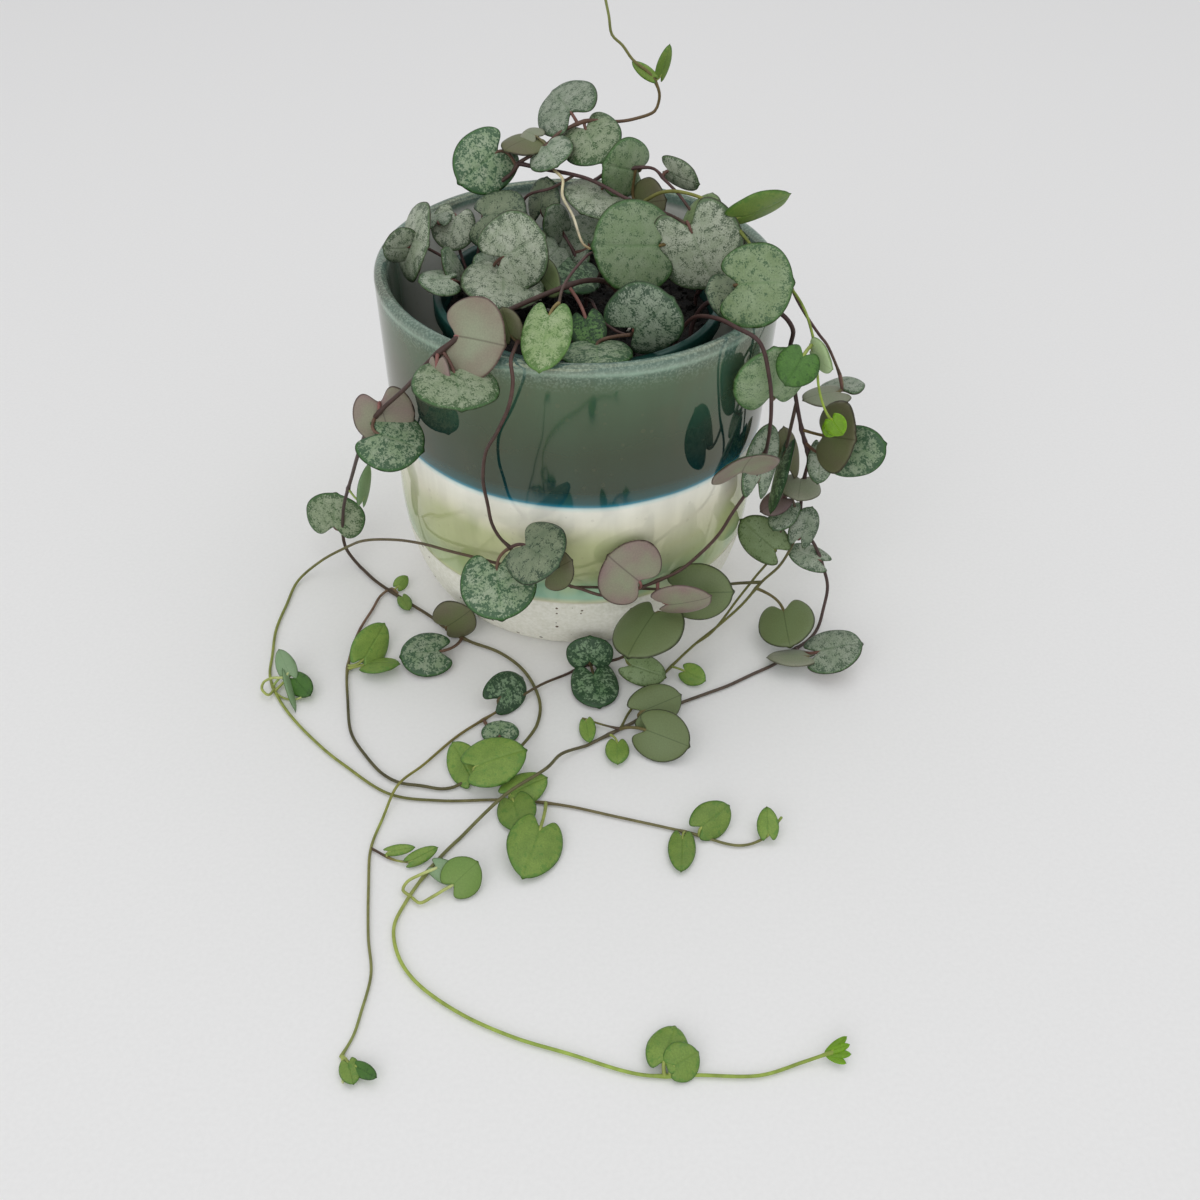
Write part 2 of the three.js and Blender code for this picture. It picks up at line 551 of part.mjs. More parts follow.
// The shoots at the back of the pot, with the one that climbs and the one that hangs forward
function buildCrownBack() {
  const climbing = [
    ...risingFrom(backRoot), [-23, 25, 104], [-25, 26, 112], [-24, 26, 117.5], [-20, 26, 121],
    [-18, 26, 124], [-15, 26, 126], [-10, 28, 128.5], [-7, 30, 131], [-2, 31, 133.5],
    [2, 32, 134.5], [11, 32, 134.5], [16, 32, 135.5], [21, 31, 138], [22, 31, 140.5],
    [22, 30, 143.5], [21, 30, 146], [19, 29, 149], [14, 28, 153], [11, 27, 157],
    [8, 26, 160], [7, 25, 165], [6, 25, 169], [5, 25, 173], [5, 24, 181],
  ];
  const forward = [
    [-18, 26, 124], [-10, 22, 124], [-3, 18, 124.5], [2, 15, 124.5], [7, 12, 123.5],
    [13, 8, 122], [17, 6, 121.5], [22, 4, 120.5], [28, 0, 119.5], [30, -3, 119],
  ];
  const arching = [
    [4, 14, 124.5], [7, 17, 125], [17, 20, 126], [21, 18, 126.5], [24, 14, 125],
    [28, 10, 122.5], [31, 6, 120], [33, 3, 119],
  ];
  const support = [
    [-20, 24, 93], [-18, 23, 105], [-16, 22, 115.5], [-8, 20, 119.5], [-2, 18, 124],
  ];
  const lime = [
    [17, 6, 121.5], [22, 4, 125.5], [26, 2, 127], [32, -1, 127], [38, -6, 126],
    [42, -8, 122.5], [45, -11, 120], [49, -15, 116.5], [53, -19, 114], [58, -23, 110.5],
    [61, -27, 107], [63, -31, 102.5], [64, -33, 99], [65, -35, 94], [66, -37, 89],
    [68, -39, 84], [70, -40, 81],
  ];
  const leaves = [
    [[-24, 30, 126], [-35, 21, 120], 18, [1, -3, 2]],
    [[-3, 34, 136], [-9, 47, 138], 20, [-2, -1, 3]],
    [[1, 31, 133], [6, 18, 129], 18, [-1, -2, 3]],
    [[-14, 32, 129], [-22, 26, 128], 14, [0, 0, 4]],
    [[-13, 31, 130], [-17, 35, 130], 8, [-1, -1, 4]],
    [[-10, 27, 129], [-7, 16, 128], 14, [-2, -1, 4]],
    [[17, 22, 124], [7, 14, 129], 17, [3, -3, 0]],
    [[25, 16, 127], [33, 9, 126], 10, [-3.5, -2.4, -1]],
    [[17, 18, 116], [24, 12, 120], 14, [-3, -3, 1]],
    [[6.3, 19.5, 119.5], [0.5, 8.5, 118], 18.5, [0.7, -1.3, 4]],
    [[21.7, -10.7, 117], [3.8, -16.6, 119.5], 25, [1.5, -3.8, 2.4]],
    [[29.6, -10, 122.5], [38, -12.5, 105.5], 25, [-0.4, -3.6, 0.6]],
    [[42.5, -8.5, 124.5], [56.5, -7.1, 130], 15.5, [1.6, -4, -3.1]],
    [[32, 0, 118.5], [36.5, 6.6, 125], 13, [-3.2, -1.6, 4]],
    [[44, -6, 116], [46, -9, 119], 7, [-3, -3, -1]],
    [[58.9, -44.2, 104], [53.9, -51.6, 99.5], 11.5, [0, -2, 3]],
    [[62.1, -38.6, 102.1], [66, -46, 100.6], 10, [-3, -2.6, -1]],
    [[70, -41, 82], [73, -44, 79], 6, [-1, -3, 2]],
    [[71, -40, 80], [69, -42, 77], 5, [-1, -3, 2]],
    [[20, 29, 148], [14, 29, 152], 3.5, [1, -4, 1]],
    [[22, 30, 148], [24, 28, 157], 4, [1, -4, -1]],
    [[5, 24, 180], [9, 23, 183], 3.5, [-1, -3, 2]],
    [[5, 24, 180], [1, 24, 183], 3.5, [1, -3, 2]],
  ];
  const stems = [
    [climbing, 0.9, 0.5], [forward, 0.8, 0.7], [arching, 0.65, 0.6], [support, 0.7, 0.6],
    [lime, 0.65, 0.5],
  ];
  leafyStem('crown_back', stems, leaves, 0x86997f);
}

// The short shoots that fill the left of the pot
function buildCrownLeft() {
  const foot = [leftRoot[0], leftRoot[1], 93];
  const stems = [
    [[...risingFrom(leftRoot, 94), [-34, 8, 99], [-40, 7, 104], [-46, 6, 108]], 0.8, 0.6],
    [[foot, [-34, 11, 100], [-37, 16, 108], [-38, 18, 112]], 0.7, 0.6],
    [[foot, [-30, 12, 101], [-29, 14, 108], [-28, 15, 113]], 0.7, 0.6],
    [[foot, [-32, 2, 97], [-34, -3, 100]], 0.6, 0.5],
  ];
  const leaves = [
    [[-50, 6, 109.5], [-42.8, -5.4, 113.5], 22.5, [-4, -1.9, 2]],
    [[-36, 16, 112.5], [-38, 8, 105.5], 13, [0.6, -3, 3]],
    [[-28.3, 14, 113], [-15.7, 10.3, 116], 19.5, [-1.6, -2.4, 4]],
    [[-36, -7.2, 103.8], [-44.6, -10.2, 105], 11.5, [0.4, -0.8, 4]],
    [[-34, 0, 101], [-38, -4, 111], 10, [4, -1, 1]],
    [[-41, 12, 112], [-41, 19, 113], 8, [-1, 1, 4]],
    [[-48, 0, 110], [-54.5, -3.6, 111], 12, [2, -4, -1.1]],
  ];
  leafyStem('crown_left', stems, leaves, 0x86997f);
}

// The short shoots that fill the middle and the front of the pot
function buildCrownCentre() {
  const foot = [centreRoot[0], centreRoot[1], 93];
  const stems = [
    [[...risingFrom(centreRoot, 94), [0, 5, 99], [-5, 5, 103], [-12, 4, 106], [-20, 3, 106],
      [-24, -1, 105]], 0.8, 0.6],
    [[foot, [4, -6, 97], [6, -16, 98], [10, -25, 99], [14, -31, 101], [15, -34, 104]], 0.7, 0.6],
    [[foot, [0, 9, 101], [-4, 14, 107], [-9, 20, 110]], 0.7, 0.6],
    [[foot, [6, -2, 104], [6, -8, 112], [3, -14, 116], [-1, -21, 115], [-4, -31, 115],
      [-5, -42, 116]], 0.65, 0.55],
  ];
  const leaves = [
    [[-22, -6, 110], [-10, -10, 119], 21.5, [-2, -4, 1.4]],
    [[-21.5, -2.5, 105.5], [-20.7, -19, 102.5], 24, [0.4, -0.7, 4]],
    [[-22, 4, 103], [-30, 0, 106], 9, [2, -1, 3]],
    [[-1, 4, 104], [-3, -10, 103], 17, [1, 0, 4]],
    [[-6, 8, 107], [-10, -3, 107], 13, [2, -1, 3]],
    [[-11.5, -2, 105], [-5.5, -12, 103], 9.5, [-4, -1, 1.5]],
    [[-11.5, 21, 111.5], [-10.3, 25, 120.5], 12.5, [-3.4, -3.6, 2]],
    [[-5, 14, 109], [-9, 9, 118], 10, [3, -3, 0]],
    [[3, 12, 106], [-5, 23, 108], 17, [-1, -2, 3]],
    [[5, -36, 101.3], [5.2, -49, 102.8], 19, [-0.2, -0.1, 4]],
    [[14.6, -36, 105.8], [24, -38.6, 115.8], 20.5, [-1, -4, 0]],
    [[-7.3, -46, 115], [-9.5, -60.4, 107.6], 13, [-0.6, -2, 3]],
  ];
  leafyStem('crown_centre', stems, leaves, 0x86997f);
}

// The purple stem that crosses the right of the rim, with the two leaves that lie on the rim
function buildVinePurple() {
  const main = [
    ...risingFrom(purpleRoot), [37.5, 6, 101], [46, 3, 109.2], [54, -1, 111], [58, -4, 109.5],
    [61, -6, 102], [65, -8, 96], [70, -10, 90], [72, -11, 88], [76, -12, 81], [77, -13, 79],
  ];
  const rimShoot = [
    [35, 7, 93], [38, 0, 102], [43.8, -11.5, 108], [43.8, -21, 112], [42.5, -26, 113.5],
  ];
  const leaves = [
    [[41.3, -31, 116.5], [55, -34.5, 119.5], 22.5, [-1.6, -4, 3.6]],
    [[42.5, -23.5, 109], [34.2, -26, 112], 13, [2.2, -2.6, 3.6]],
    [[78, -15, 75], [79, -4, 73], 14, [-1, 1, 4]],
    [[77, -16, 75], [66, -20, 75], 11, [0, 0, 4]],
  ];
  leafyStem('vine_purple', [[main, 0.75, 0.6], [rimShoot, 0.7, 0.6]], leaves, 0x7d9076);
}

// A dry straw-coloured tendril that lies over the crown
function buildDryTendril() {
  const points = [
    [-7, 23, 126.5], [-8, 20, 125.5], [-5, 14, 124.5], [-5, 10, 121.5], [-2, 6, 117.5],
    [1, 0, 112], [3, -2, 111.5],
  ];
  const tendril = tube(stemCentres([points, 0.45]), 0.45, 0.35, stemSides);
  addMesh('dry_tendril', geometryOf(tendril), 0xcdb98c, 0.8);
}

buildPot();
buildNurseryPot();
buildSoil();
buildVineLeft();
buildVineFront();
buildVineRing();
buildVineRight();
buildCrownBack();
buildCrownLeft();
buildCrownCentre();
buildVinePurple();
buildDryTendril();

export default group;
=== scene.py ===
"""Potted string of hearts in a glazed stoneware pot. Laid out as an add-on, run as a script."""
import math
import random

import bmesh
import bpy
from bpy.props import FloatProperty, FloatVectorProperty, IntProperty, PointerProperty
from mathutils import Matrix, Quaternion, Vector, noise


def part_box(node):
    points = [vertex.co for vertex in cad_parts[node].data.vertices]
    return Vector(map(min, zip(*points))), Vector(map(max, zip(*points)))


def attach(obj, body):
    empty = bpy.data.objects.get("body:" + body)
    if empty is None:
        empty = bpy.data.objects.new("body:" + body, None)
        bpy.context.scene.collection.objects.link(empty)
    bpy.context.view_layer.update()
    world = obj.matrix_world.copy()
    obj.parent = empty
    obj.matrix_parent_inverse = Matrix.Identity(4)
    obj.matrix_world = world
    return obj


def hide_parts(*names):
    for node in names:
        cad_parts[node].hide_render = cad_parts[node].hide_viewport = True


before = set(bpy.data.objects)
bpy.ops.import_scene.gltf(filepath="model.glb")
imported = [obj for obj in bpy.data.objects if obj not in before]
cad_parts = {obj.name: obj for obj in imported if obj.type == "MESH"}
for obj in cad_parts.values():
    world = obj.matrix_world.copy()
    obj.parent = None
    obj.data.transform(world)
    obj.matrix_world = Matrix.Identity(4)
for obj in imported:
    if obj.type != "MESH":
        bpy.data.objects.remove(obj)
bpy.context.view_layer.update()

bl_info = {
    "name": "Potted string of hearts",
    "version": (1, 0, 0),
    "blender": (4, 5, 0),
    "location": "3D View > Sidebar > Hearts",
    "description": "A trailing plant with heart-shaped leaves in a glazed stoneware pot",
    "category": "Object",
}

MM = 0.001

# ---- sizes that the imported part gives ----
pot_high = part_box("pot")[1]
nursery_low, nursery_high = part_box("nursery_pot")
soil_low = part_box("soil")[0]


def srgb(colour):
    """A hex sRGB colour as linear red, green, blue and alpha. A linear colour stays as it is."""
    if not isinstance(colour, str):
        return colour
    shares = [int(colour[start:start + 2], 16) / 255 for start in (1, 3, 5)]
    linear = [c / 12.92 if c <= 0.04045 else ((c + 0.055) / 1.055) ** 2.4 for c in shares]
    return (*linear, 1.0)


def colour_property(name, description, hex_colour):
    """A colour that the user can change."""
    return FloatVectorProperty(
        name=name, description=description, default=srgb(hex_colour), size=4, min=0, max=1,
        subtype="COLOR")


class PotSettings(bpy.types.PropertyGroup):
    """Sizes and glaze colours of the stoneware pot, and the plastic pot in it."""
    rim_radius: FloatProperty(
        name="Rim radius", description="Outer radius at the lip",
        default=pot_high.x, min=0.02, unit="LENGTH")
    height: FloatProperty(
        name="Height", description="Height of the stoneware pot",
        default=pot_high.z, min=0.02, unit="LENGTH")
    wall: FloatProperty(
        name="Wall", description="Thickness of the thrown wall",
        default=3.7 * MM, min=0.001, unit="LENGTH")
    dip_line: FloatProperty(
        name="Dip line", description="Height where the teal glaze meets the cream one",
        default=62.7 * MM, min=0.0, unit="LENGTH")
    glaze_end: FloatProperty(
        name="Glaze end", description="Height where the glaze stops above the bare clay",
        default=25.5 * MM, min=0.0, unit="LENGTH")
    teal: colour_property("Teal glaze", "Colour in the viewport of the upper glaze", "#0f3436")
    plastic: colour_property("Nursery plastic", "Colour of the inner pot", "#1b4640")


class PlantSettings(bpy.types.PropertyGroup):
    """Sizes and colours of the stems, leaves and soil."""
    leaf_thickness: FloatProperty(
        name="Leaf thickness", description="Thickness of a grown leaf",
        default=1.2 * MM, min=0.0004, unit="LENGTH")
    leaf_dome: FloatProperty(
        name="Leaf dome", default=0.1, min=0.0, max=0.3, subtype="FACTOR",
        description="How far a leaf's rim lies below its middle, as a share of its width")
    stem_sides: IntProperty(
        name="Stem sides", description="Faces round a stem", default=10, min=5, max=16)
    crumbs: IntProperty(
        name="Soil crumbs", description="Bits of bark and peat on the soil", default=520, min=0)
    perlite: IntProperty(
        name="Perlite", description="White perlite bits on the soil", default=30, min=0)
    silver: colour_property("Silver leaf", "Ground colour of a grown leaf", "#959f8d")
    fleck: colour_property("Leaf flecks", "Colour of the dark flecks on mottled leaves", "#35573a")


class StageSettings(bpy.types.PropertyGroup):
    """The pale table, the light and the camera."""
    sky: FloatProperty(name="Room light", description="Strength of the even light", default=0.64, min=0)
    window: FloatProperty(
        name="Window", description="Power of the large soft light", default=6.6, min=0, unit="POWER")
    table: colour_property("Table", "Colour of the table", "#efefee")


def plug(tree, node, inputs):
    """Sets a node's inputs, by name, or as a list that goes through its sockets in use.

    Each is a value, a hex colour, a socket, or a node, which stands for its first output in use."""
    if isinstance(inputs, dict):
        pairs = [(node.inputs[name], value) for name, value in inputs.items()]
    else:
        pairs = zip([socket for socket in node.inputs if socket.enabled], inputs)
    for socket, value in pairs:
        if isinstance(value, bpy.types.Node):
            value = next(output for output in value.outputs if output.enabled)
        if isinstance(value, bpy.types.NodeSocket):
            tree.links.new(value, socket)
        else:
            socket.default_value = srgb(value)


def add(tree, kind, inputs=(), stops=(), **settings):
    """Adds a node, with a colour ramp's stops where it has them."""
    node = tree.nodes.new("ShaderNode" + kind)
    for name, value in settings.items():
        setattr(node, name, value)
    plug(tree, node, inputs)
    if stops:
        elements = node.color_ramp.elements
        while len(elements) < len(stops):
            elements.new(1.0)
        for element, (position, colour) in zip(elements, stops):
            element.position, element.color = position, srgb(colour)
    return node


def surface(name, colour, roughness, ior=1.45, **sockets):
    """A material with one shader. The caller adds the pattern to its tree."""
    material = bpy.data.materials.new(name)
    material.use_nodes = True
    material.diffuse_color = srgb(colour)
    tree = material.node_tree
    tree.nodes.clear()
    inputs = {"Base Color": colour, "Roughness": roughness, "IOR": ior}
    inputs.update({key.replace("_", " "): value for key, value in sockets.items()})
    shader = add(tree, "BsdfPrincipled", inputs)
    add(tree, "OutputMaterial", {"Surface": shader})
    return material, tree, shader


def running_glaze(pot):
    """Glossy stoneware glaze, dipped teal over cream, that ran down towards the bare clay foot.

    The thick teal is a deep colour under a clear gloss, so it mirrors the table and the leaves."""
    glossy, matt = 0.055, 0.7
    material, tree, shader = surface(
        "running_glaze", pot.teal, glossy, 1.88, Specular_Tint=srgb("#f0e9bd"))
    place = add(tree, "TexCoord").outputs["Object"]
    _, backward, level = add(tree, "SeparateXYZ", [place]).outputs
    # The dip lines waver by about half a millimetre over 40 mm
    waver = add(tree, "TexNoise", [place, 26.0, 2.0])
    wavered = add(tree, "Math", [waver, 1.4 * MM, level], operation="MULTIPLY_ADD")
    share = add(tree, "Math", [wavered, pot.height], operation="DIVIDE")
    dip = pot.dip_line / pot.height
    end = pot.glaze_end / pot.height
    # The stops from 0.983 up paint a pale highlight line where the lip starts to round over
    bands = add(tree, "ValToRGB", [share], stops=[
        (end + 0.006, "#d6d2b0"), (end + 0.024, "#9cc4ac"), (end + 0.07, "#93ba9c"),
        (end + 0.115, "#b3bc93"), (dip - 0.175, "#c6c9a2"), (dip - 0.10, "#dedcc4"),
        (dip - 0.014, "#f2f2e8"), (dip - 0.002, "#cfe4e2"), (dip + 0.004, "#2584a0"),
        (dip + 0.013, "#10505c"), (dip + 0.05, "#0c3234"), (dip + 0.16, "#143630"),
        (0.84, "#27483a"), (0.95, "#3c5c49"), (0.975, "#43645a"), (0.983, "#8aa898"),
        (0.99, "#748c82"), (1.0, "#56716a")])
    # In patches the cream is yellow-green instead
    cream_patch = add(tree, "TexNoise", [place, 34.0, 1.5])
    patchy = add(tree, "MapRange", [cream_patch, 0.46, 0.6, 0.0, 0.75])
    in_band = add(tree, "MapRange", [wavered, pot.dip_line - 14 * MM, pot.dip_line - 6 * MM, 1.0, 0.0])
    patched = add(tree, "Math", [patchy, in_band], operation="MULTIPLY")
    mottled = add(tree, "Mix", [patched, bands, "#b2bc84"], data_type="RGBA")
    # The thick teal is browner in patches 30 mm wide
    brown_patch = add(tree, "TexNoise", [place, 31.0, 3.0])
    brown = add(tree, "MapRange", [brown_patch, 0.47, 0.66, 0.0, 0.5])
    in_teal = add(tree, "MapRange", [wavered, pot.dip_line + 3 * MM, pot.dip_line + 14 * MM])
    browned = add(tree, "Math", [brown, in_teal], operation="MULTIPLY")
    varied = add(tree, "Mix", [browned, mottled, "#4b4034"], data_type="RGBA")
    # Streaks where the glaze ran: 8 mm wide, five times as long
    stretch = add(tree, "Mapping", {"Vector": place, "Scale": (1.0, 1.0, 0.2)})
    runs = add(tree, "TexNoise", [stretch, 120.0, 3.0])
    cloud = add(tree, "TexNoise", [place, 55.0, 5.0])
    mixed = add(tree, "Math", [runs, cloud], operation="ADD")
    tone = add(tree, "MapRange", [mixed, 0.7, 1.3, 0.86, 1.12])
    toned = add(tree, "VectorMath", [varied, tone], operation="SCALE")
    # Round the lip the glaze broke into pale specks of half a millimetre
    crackle = add(tree, "TexNoise", [place, 1500.0, 2.0])
    pale = add(tree, "MapRange", [crackle, 0.46, 0.64, 0.0, 0.34])
    high = add(tree, "MapRange", [share, 0.93, 0.985])
    broken = add(tree, "Math", [pale, high], operation="MULTIPLY")
    lipped = add(tree, "Mix", [broken, toned, "#a6bcae"], data_type="RGBA")
    # Inside, the glaze is pale from just under the lip at the back; at the front the inside keeps the dark
    # teal, painted shade over glaze that is pale there
    sideways = add(tree, "VectorMath", [place, (1.0, 1.0, 0.0)], operation="MULTIPLY")
    out = add(tree, "VectorMath", [sideways], operation="LENGTH")
    inside = add(tree, "MapRange", [out, pot.rim_radius - 3.6 * MM, pot.rim_radius - 3.1 * MM, 1.0, 0.0])
    for limit in (
            [level, pot.height - 4.5 * MM, pot.height - 2.4 * MM, 1.0, 0.0],
            [level, 44 * MM, 46 * MM],
            [backward, 8 * MM, 26 * MM]):
        within = add(tree, "MapRange", limit)
        inside = add(tree, "Math", [inside, within], operation="MULTIPLY")
    lined = add(tree, "Mix", [inside, lipped, "#f1f3ec"], data_type="RGBA")
    # Bare clay: off-white, with iron specks of up to about a millimetre
    grain = add(tree, "TexNoise", [place, 900.0, 3.0])
    clay = add(tree, "ValToRGB", [grain], stops=[(0.3, "#e4e3d6"), (0.7, "#f6f5ec")])
    spots = add(tree, "TexVoronoi", [place, 400.0])
    some = add(tree, "SeparateColor", [spots.outputs["Color"]])
    size = add(tree, "MapRange", [some, 0.6, 1.0, 0.0, 0.27])
    speck = add(tree, "Math", [size, spots], operation="GREATER_THAN")
    foot = add(tree, "Mix", [speck, clay, "#4c3026"], data_type="RGBA")
    glazed = add(tree, "MapRange", [wavered, pot.glaze_end, pot.glaze_end + 0.9 * MM])
    # Faint specks show through the cream band too
    seen = add(tree, "Math", [speck, 0.1], operation="MULTIPLY")
    through = add(tree, "Mix", [seen, lined, "#6f6a52"], data_type="RGBA")
    colour = add(tree, "Mix", [glazed, foot, through], data_type="RGBA")
    rough = add(tree, "MapRange", [glazed, 0.0, 1.0, matt, glossy])
    # The glaze stands about 0.25 mm proud of the clay, and its skin is faintly uneven
    skin = add(tree, "TexNoise", [place, 42.0, 1.0])
    low = add(tree, "Bump", {"Height": glazed, "Distance": 0.25 * MM, "Strength": 0.8})
    fine = add(tree, "Bump", {"Height": skin, "Distance": 0.5 * MM, "Strength": 0.35, "Normal": low})
    plug(tree, shader, {"Base Color": colour, "Roughness": rough, "Normal": fine})
    return material


def nursery_plastic(pot):
    """Thermoformed polypropylene: thin, dark green-teal, with a dull sheen from the mould."""
    material, tree, shader = surface("nursery_plastic", pot.plastic, 0.38, 1.49)
    place = add(tree, "TexCoord").outputs["Object"]
    grain = add(tree, "TexNoise", [place, 700.0, 2.0])
    dust = add(tree, "TexNoise", [place, 70.0, 5.0])
    dusty = add(tree, "MapRange", [dust, 0.5, 0.8, 0.0, 0.35])
    colour = add(tree, "Mix", [dusty, pot.plastic, "#4a6a5c"], data_type="RGBA")
    bump = add(tree, "Bump", {"Height": grain, "Distance": 0.08 * MM, "Strength": 0.5})
    plug(tree, shader, {"Base Color": colour, "Normal": bump})
    return material


def potting_mix():
    """Damp peat and composted bark: almost black, crumbly, with brown fibres."""
    material, tree, shader = surface("potting_mix", "#0b0907", 0.95)
    place = add(tree, "TexCoord").outputs["Object"]
    crumb = add(tree, "TexNoise", [place, 520.0, 5.0])
    colour = add(tree, "ValToRGB", [crumb], stops=[
        (0.35, "#050403"), (0.55, "#0e0b08"), (0.75, "#251b12")])
    bump = add(tree, "Bump", {"Height": crumb, "Distance": 1.2 * MM, "Strength": 0.9})
    plug(tree, shader, {"Base Color": colour, "Normal": bump})
    return material


def expanded_perlite():
    """Expanded volcanic glass: white, light, full of small holes."""
    material, tree, shader = surface("expanded_perlite", "#cfccc0", 0.8, 1.5)
    holes = add(tree, "TexNoise", [add(tree, "TexCoord").outputs["Object"], 1100.0, 2.0])
    colour = add(tree, "ValToRGB", [holes], stops=[(0.35, "#8e897a"), (0.6, "#d8d5ca")])
    plug(tree, shader, {"Base Color": colour})
    return material


def vine_bark():
    """Smooth herbaceous skin: brown-purple when grown, olive to lime towards the tip."""
    material, tree, shader = surface("vine_bark", "#4e3832", 0.42, Specular_IOR_Level=0.32)
    tint = add(tree, "VertexColor", layer_name="Tint")
    patch = add(tree, "TexNoise", [add(tree, "TexCoord").outputs["Object"], 380.0, 3.0])
    tone = add(tree, "MapRange", [patch, 0.3, 0.7, 0.68, 1.08])
    colour = add(tree, "VectorMath", [tint, tone], operation="SCALE")
    plug(tree, shader, {"Base Color": colour})
    return material


def blade_marks(tree):
    """Where a place is on a leaf: in millimetres, beside and along the midrib, and its tints.

    The tints are how far out the place lies towards the rim, and the leaf's own tone."""
    flat = add(tree, "UVMap", uv_map="Skin")
    blade = add(tree, "SeparateXYZ", [add(tree, "UVMap", uv_map="Blade")]).outputs
    side = add(tree, "Math", [blade[0]], operation="ABSOLUTE")
    outward, own, _ = add(tree, "SeparateColor", [add(tree, "VertexColor", layer_name="Tint")]).outputs
    return flat, side, blade[1], outward, own


def upper_skin(name, ground, cool, fleck, rim, edge, level, size):
    """The upper skin of a fleshy leaf: pale air-filled cells under a waxy cuticle, with green flecks.

    level is the noise above which a fleck shows, and size a fleck's length in millimetres."""
    material, tree, shader = surface(name, ground, 0.46, 1.42)
    flat, side, along, outward, own = blade_marks(tree)
    # Ground: patches 3 to 6 mm wide that are greyer or greener, and a fine grain of cells
    patches = add(tree, "TexNoise", [flat, 0.24, 3.0])
    cooled = add(tree, "MapRange", [patches, 0.36, 0.64])
    base = add(tree, "Mix", [cooled, ground, cool], data_type="RGBA")
    cells = add(tree, "TexNoise", [flat, 2.4, 3.0, 0.6])
    grain = add(tree, "MapRange", [cells, 0.3, 0.7, 0.84, 1.16])
    grained = add(tree, "VectorMath", [base, grain], operation="SCALE")
    # Flecks: short dashes in clumps 2 mm wide, closer together towards the rim
    clumps = add(tree, "TexNoise", [flat, 0.5, 2.0])
    dashes = add(tree, "TexNoise", {
        "Vector": flat, "Scale": 1.15 / size, "Detail": 4.0, "Roughness": 0.68, "Distortion": 0.5})
    fringe = add(tree, "MapRange", [outward, 0.7, 0.97, 0.0, 0.13])
    both = add(tree, "Math", [clumps, 0.62, dashes], operation="MULTIPLY_ADD")
    more = add(tree, "Math", [both, fringe], operation="ADD")
    dark = add(tree, "MapRange", [more, level - 0.035, level + 0.05, 0.0, 0.92])
    flecked = add(tree, "Mix", [dark, grained, fleck], data_type="RGBA")
    # Midrib: a faint green line that fades before the tip
    rib = add(tree, "MapRange", [side, 0.012, 0.05, 0.32, 0.0])
    faded = add(tree, "MapRange", [along, 0.55, 0.95, 1.0, 0.0])
    ribs = add(tree, "Math", [rib, faded], operation="MULTIPLY")
    ribbed = add(tree, "Mix", [ribs, flecked, rim], data_type="RGBA")
    # Rim: a green band half a millimetre wide, then a thin dark edge, both ragged
    ragged = add(tree, "Math", [dashes, 0.13, outward], operation="MULTIPLY_ADD")
    band = add(tree, "MapRange", [ragged, 0.975, 1.035, 0.0, 0.88])
    rimmed = add(tree, "Mix", [band, ribbed, rim], data_type="RGBA")
    line = add(tree, "MapRange", [outward, 0.965, 0.99, 0.0, 0.85])
    edged = add(tree, "Mix", [line, rimmed, edge], data_type="RGBA")
    # No two leaves have quite the same tone
    tone = add(tree, "MapRange", [own, 0.0, 1.0, 0.86, 1.14])
    colour = add(tree, "VectorMath", [edged, tone], operation="SCALE")
    bump = add(tree, "Bump", {"Height": cells, "Distance": 0.14 * MM, "Strength": 0.5})
    furrow = add(tree, "MapRange", [side, 0.0, 0.08])
    dent = add(tree, "Bump", {"Height": furrow, "Distance": 0.3 * MM, "Strength": 0.5, "Normal": bump})
    plug(tree, shader, {"Base Color": colour, "Normal": dent})
    return material


def under_skin(name, ground, blush, vein, edge):
    """The underside of a leaf: smooth, without flecks, blushed pink or olive, with a dark midrib."""
    material, tree, shader = surface(name, ground, 0.48, 1.42)
    flat, side, _, outward, _ = blade_marks(tree)
    cloud = add(tree, "TexNoise", [flat, 0.13, 2.0])
    clouded = add(tree, "Math", [outward, 0.35, cloud], operation="MULTIPLY_ADD")
    blushed = add(tree, "MapRange", [clouded, 0.5, 0.95])
    base = add(tree, "Mix", [blushed, ground, blush], data_type="RGBA")
    rib = add(tree, "MapRange", [side, 0.006, 0.032, 0.55, 0.0])
    ribbed = add(tree, "Mix", [rib, base, vein], data_type="RGBA")
    line = add(tree, "MapRange", [outward, 0.945, 0.985, 0.0, 0.9])
    edged = add(tree, "Mix", [line, ribbed, edge], data_type="RGBA")
    grain = add(tree, "TexNoise", [flat, 2.2, 3.0])
    tone = add(tree, "MapRange", [grain, 0.3, 0.7, 0.92, 1.08])
    colour = add(tree, "VectorMath", [edged, tone], operation="SCALE")
    bump = add(tree, "Bump", {"Height": grain, "Distance": 0.08 * MM, "Strength": 0.4})
    plug(tree, shader, {"Base Color": colour, "Normal": bump})
    return material


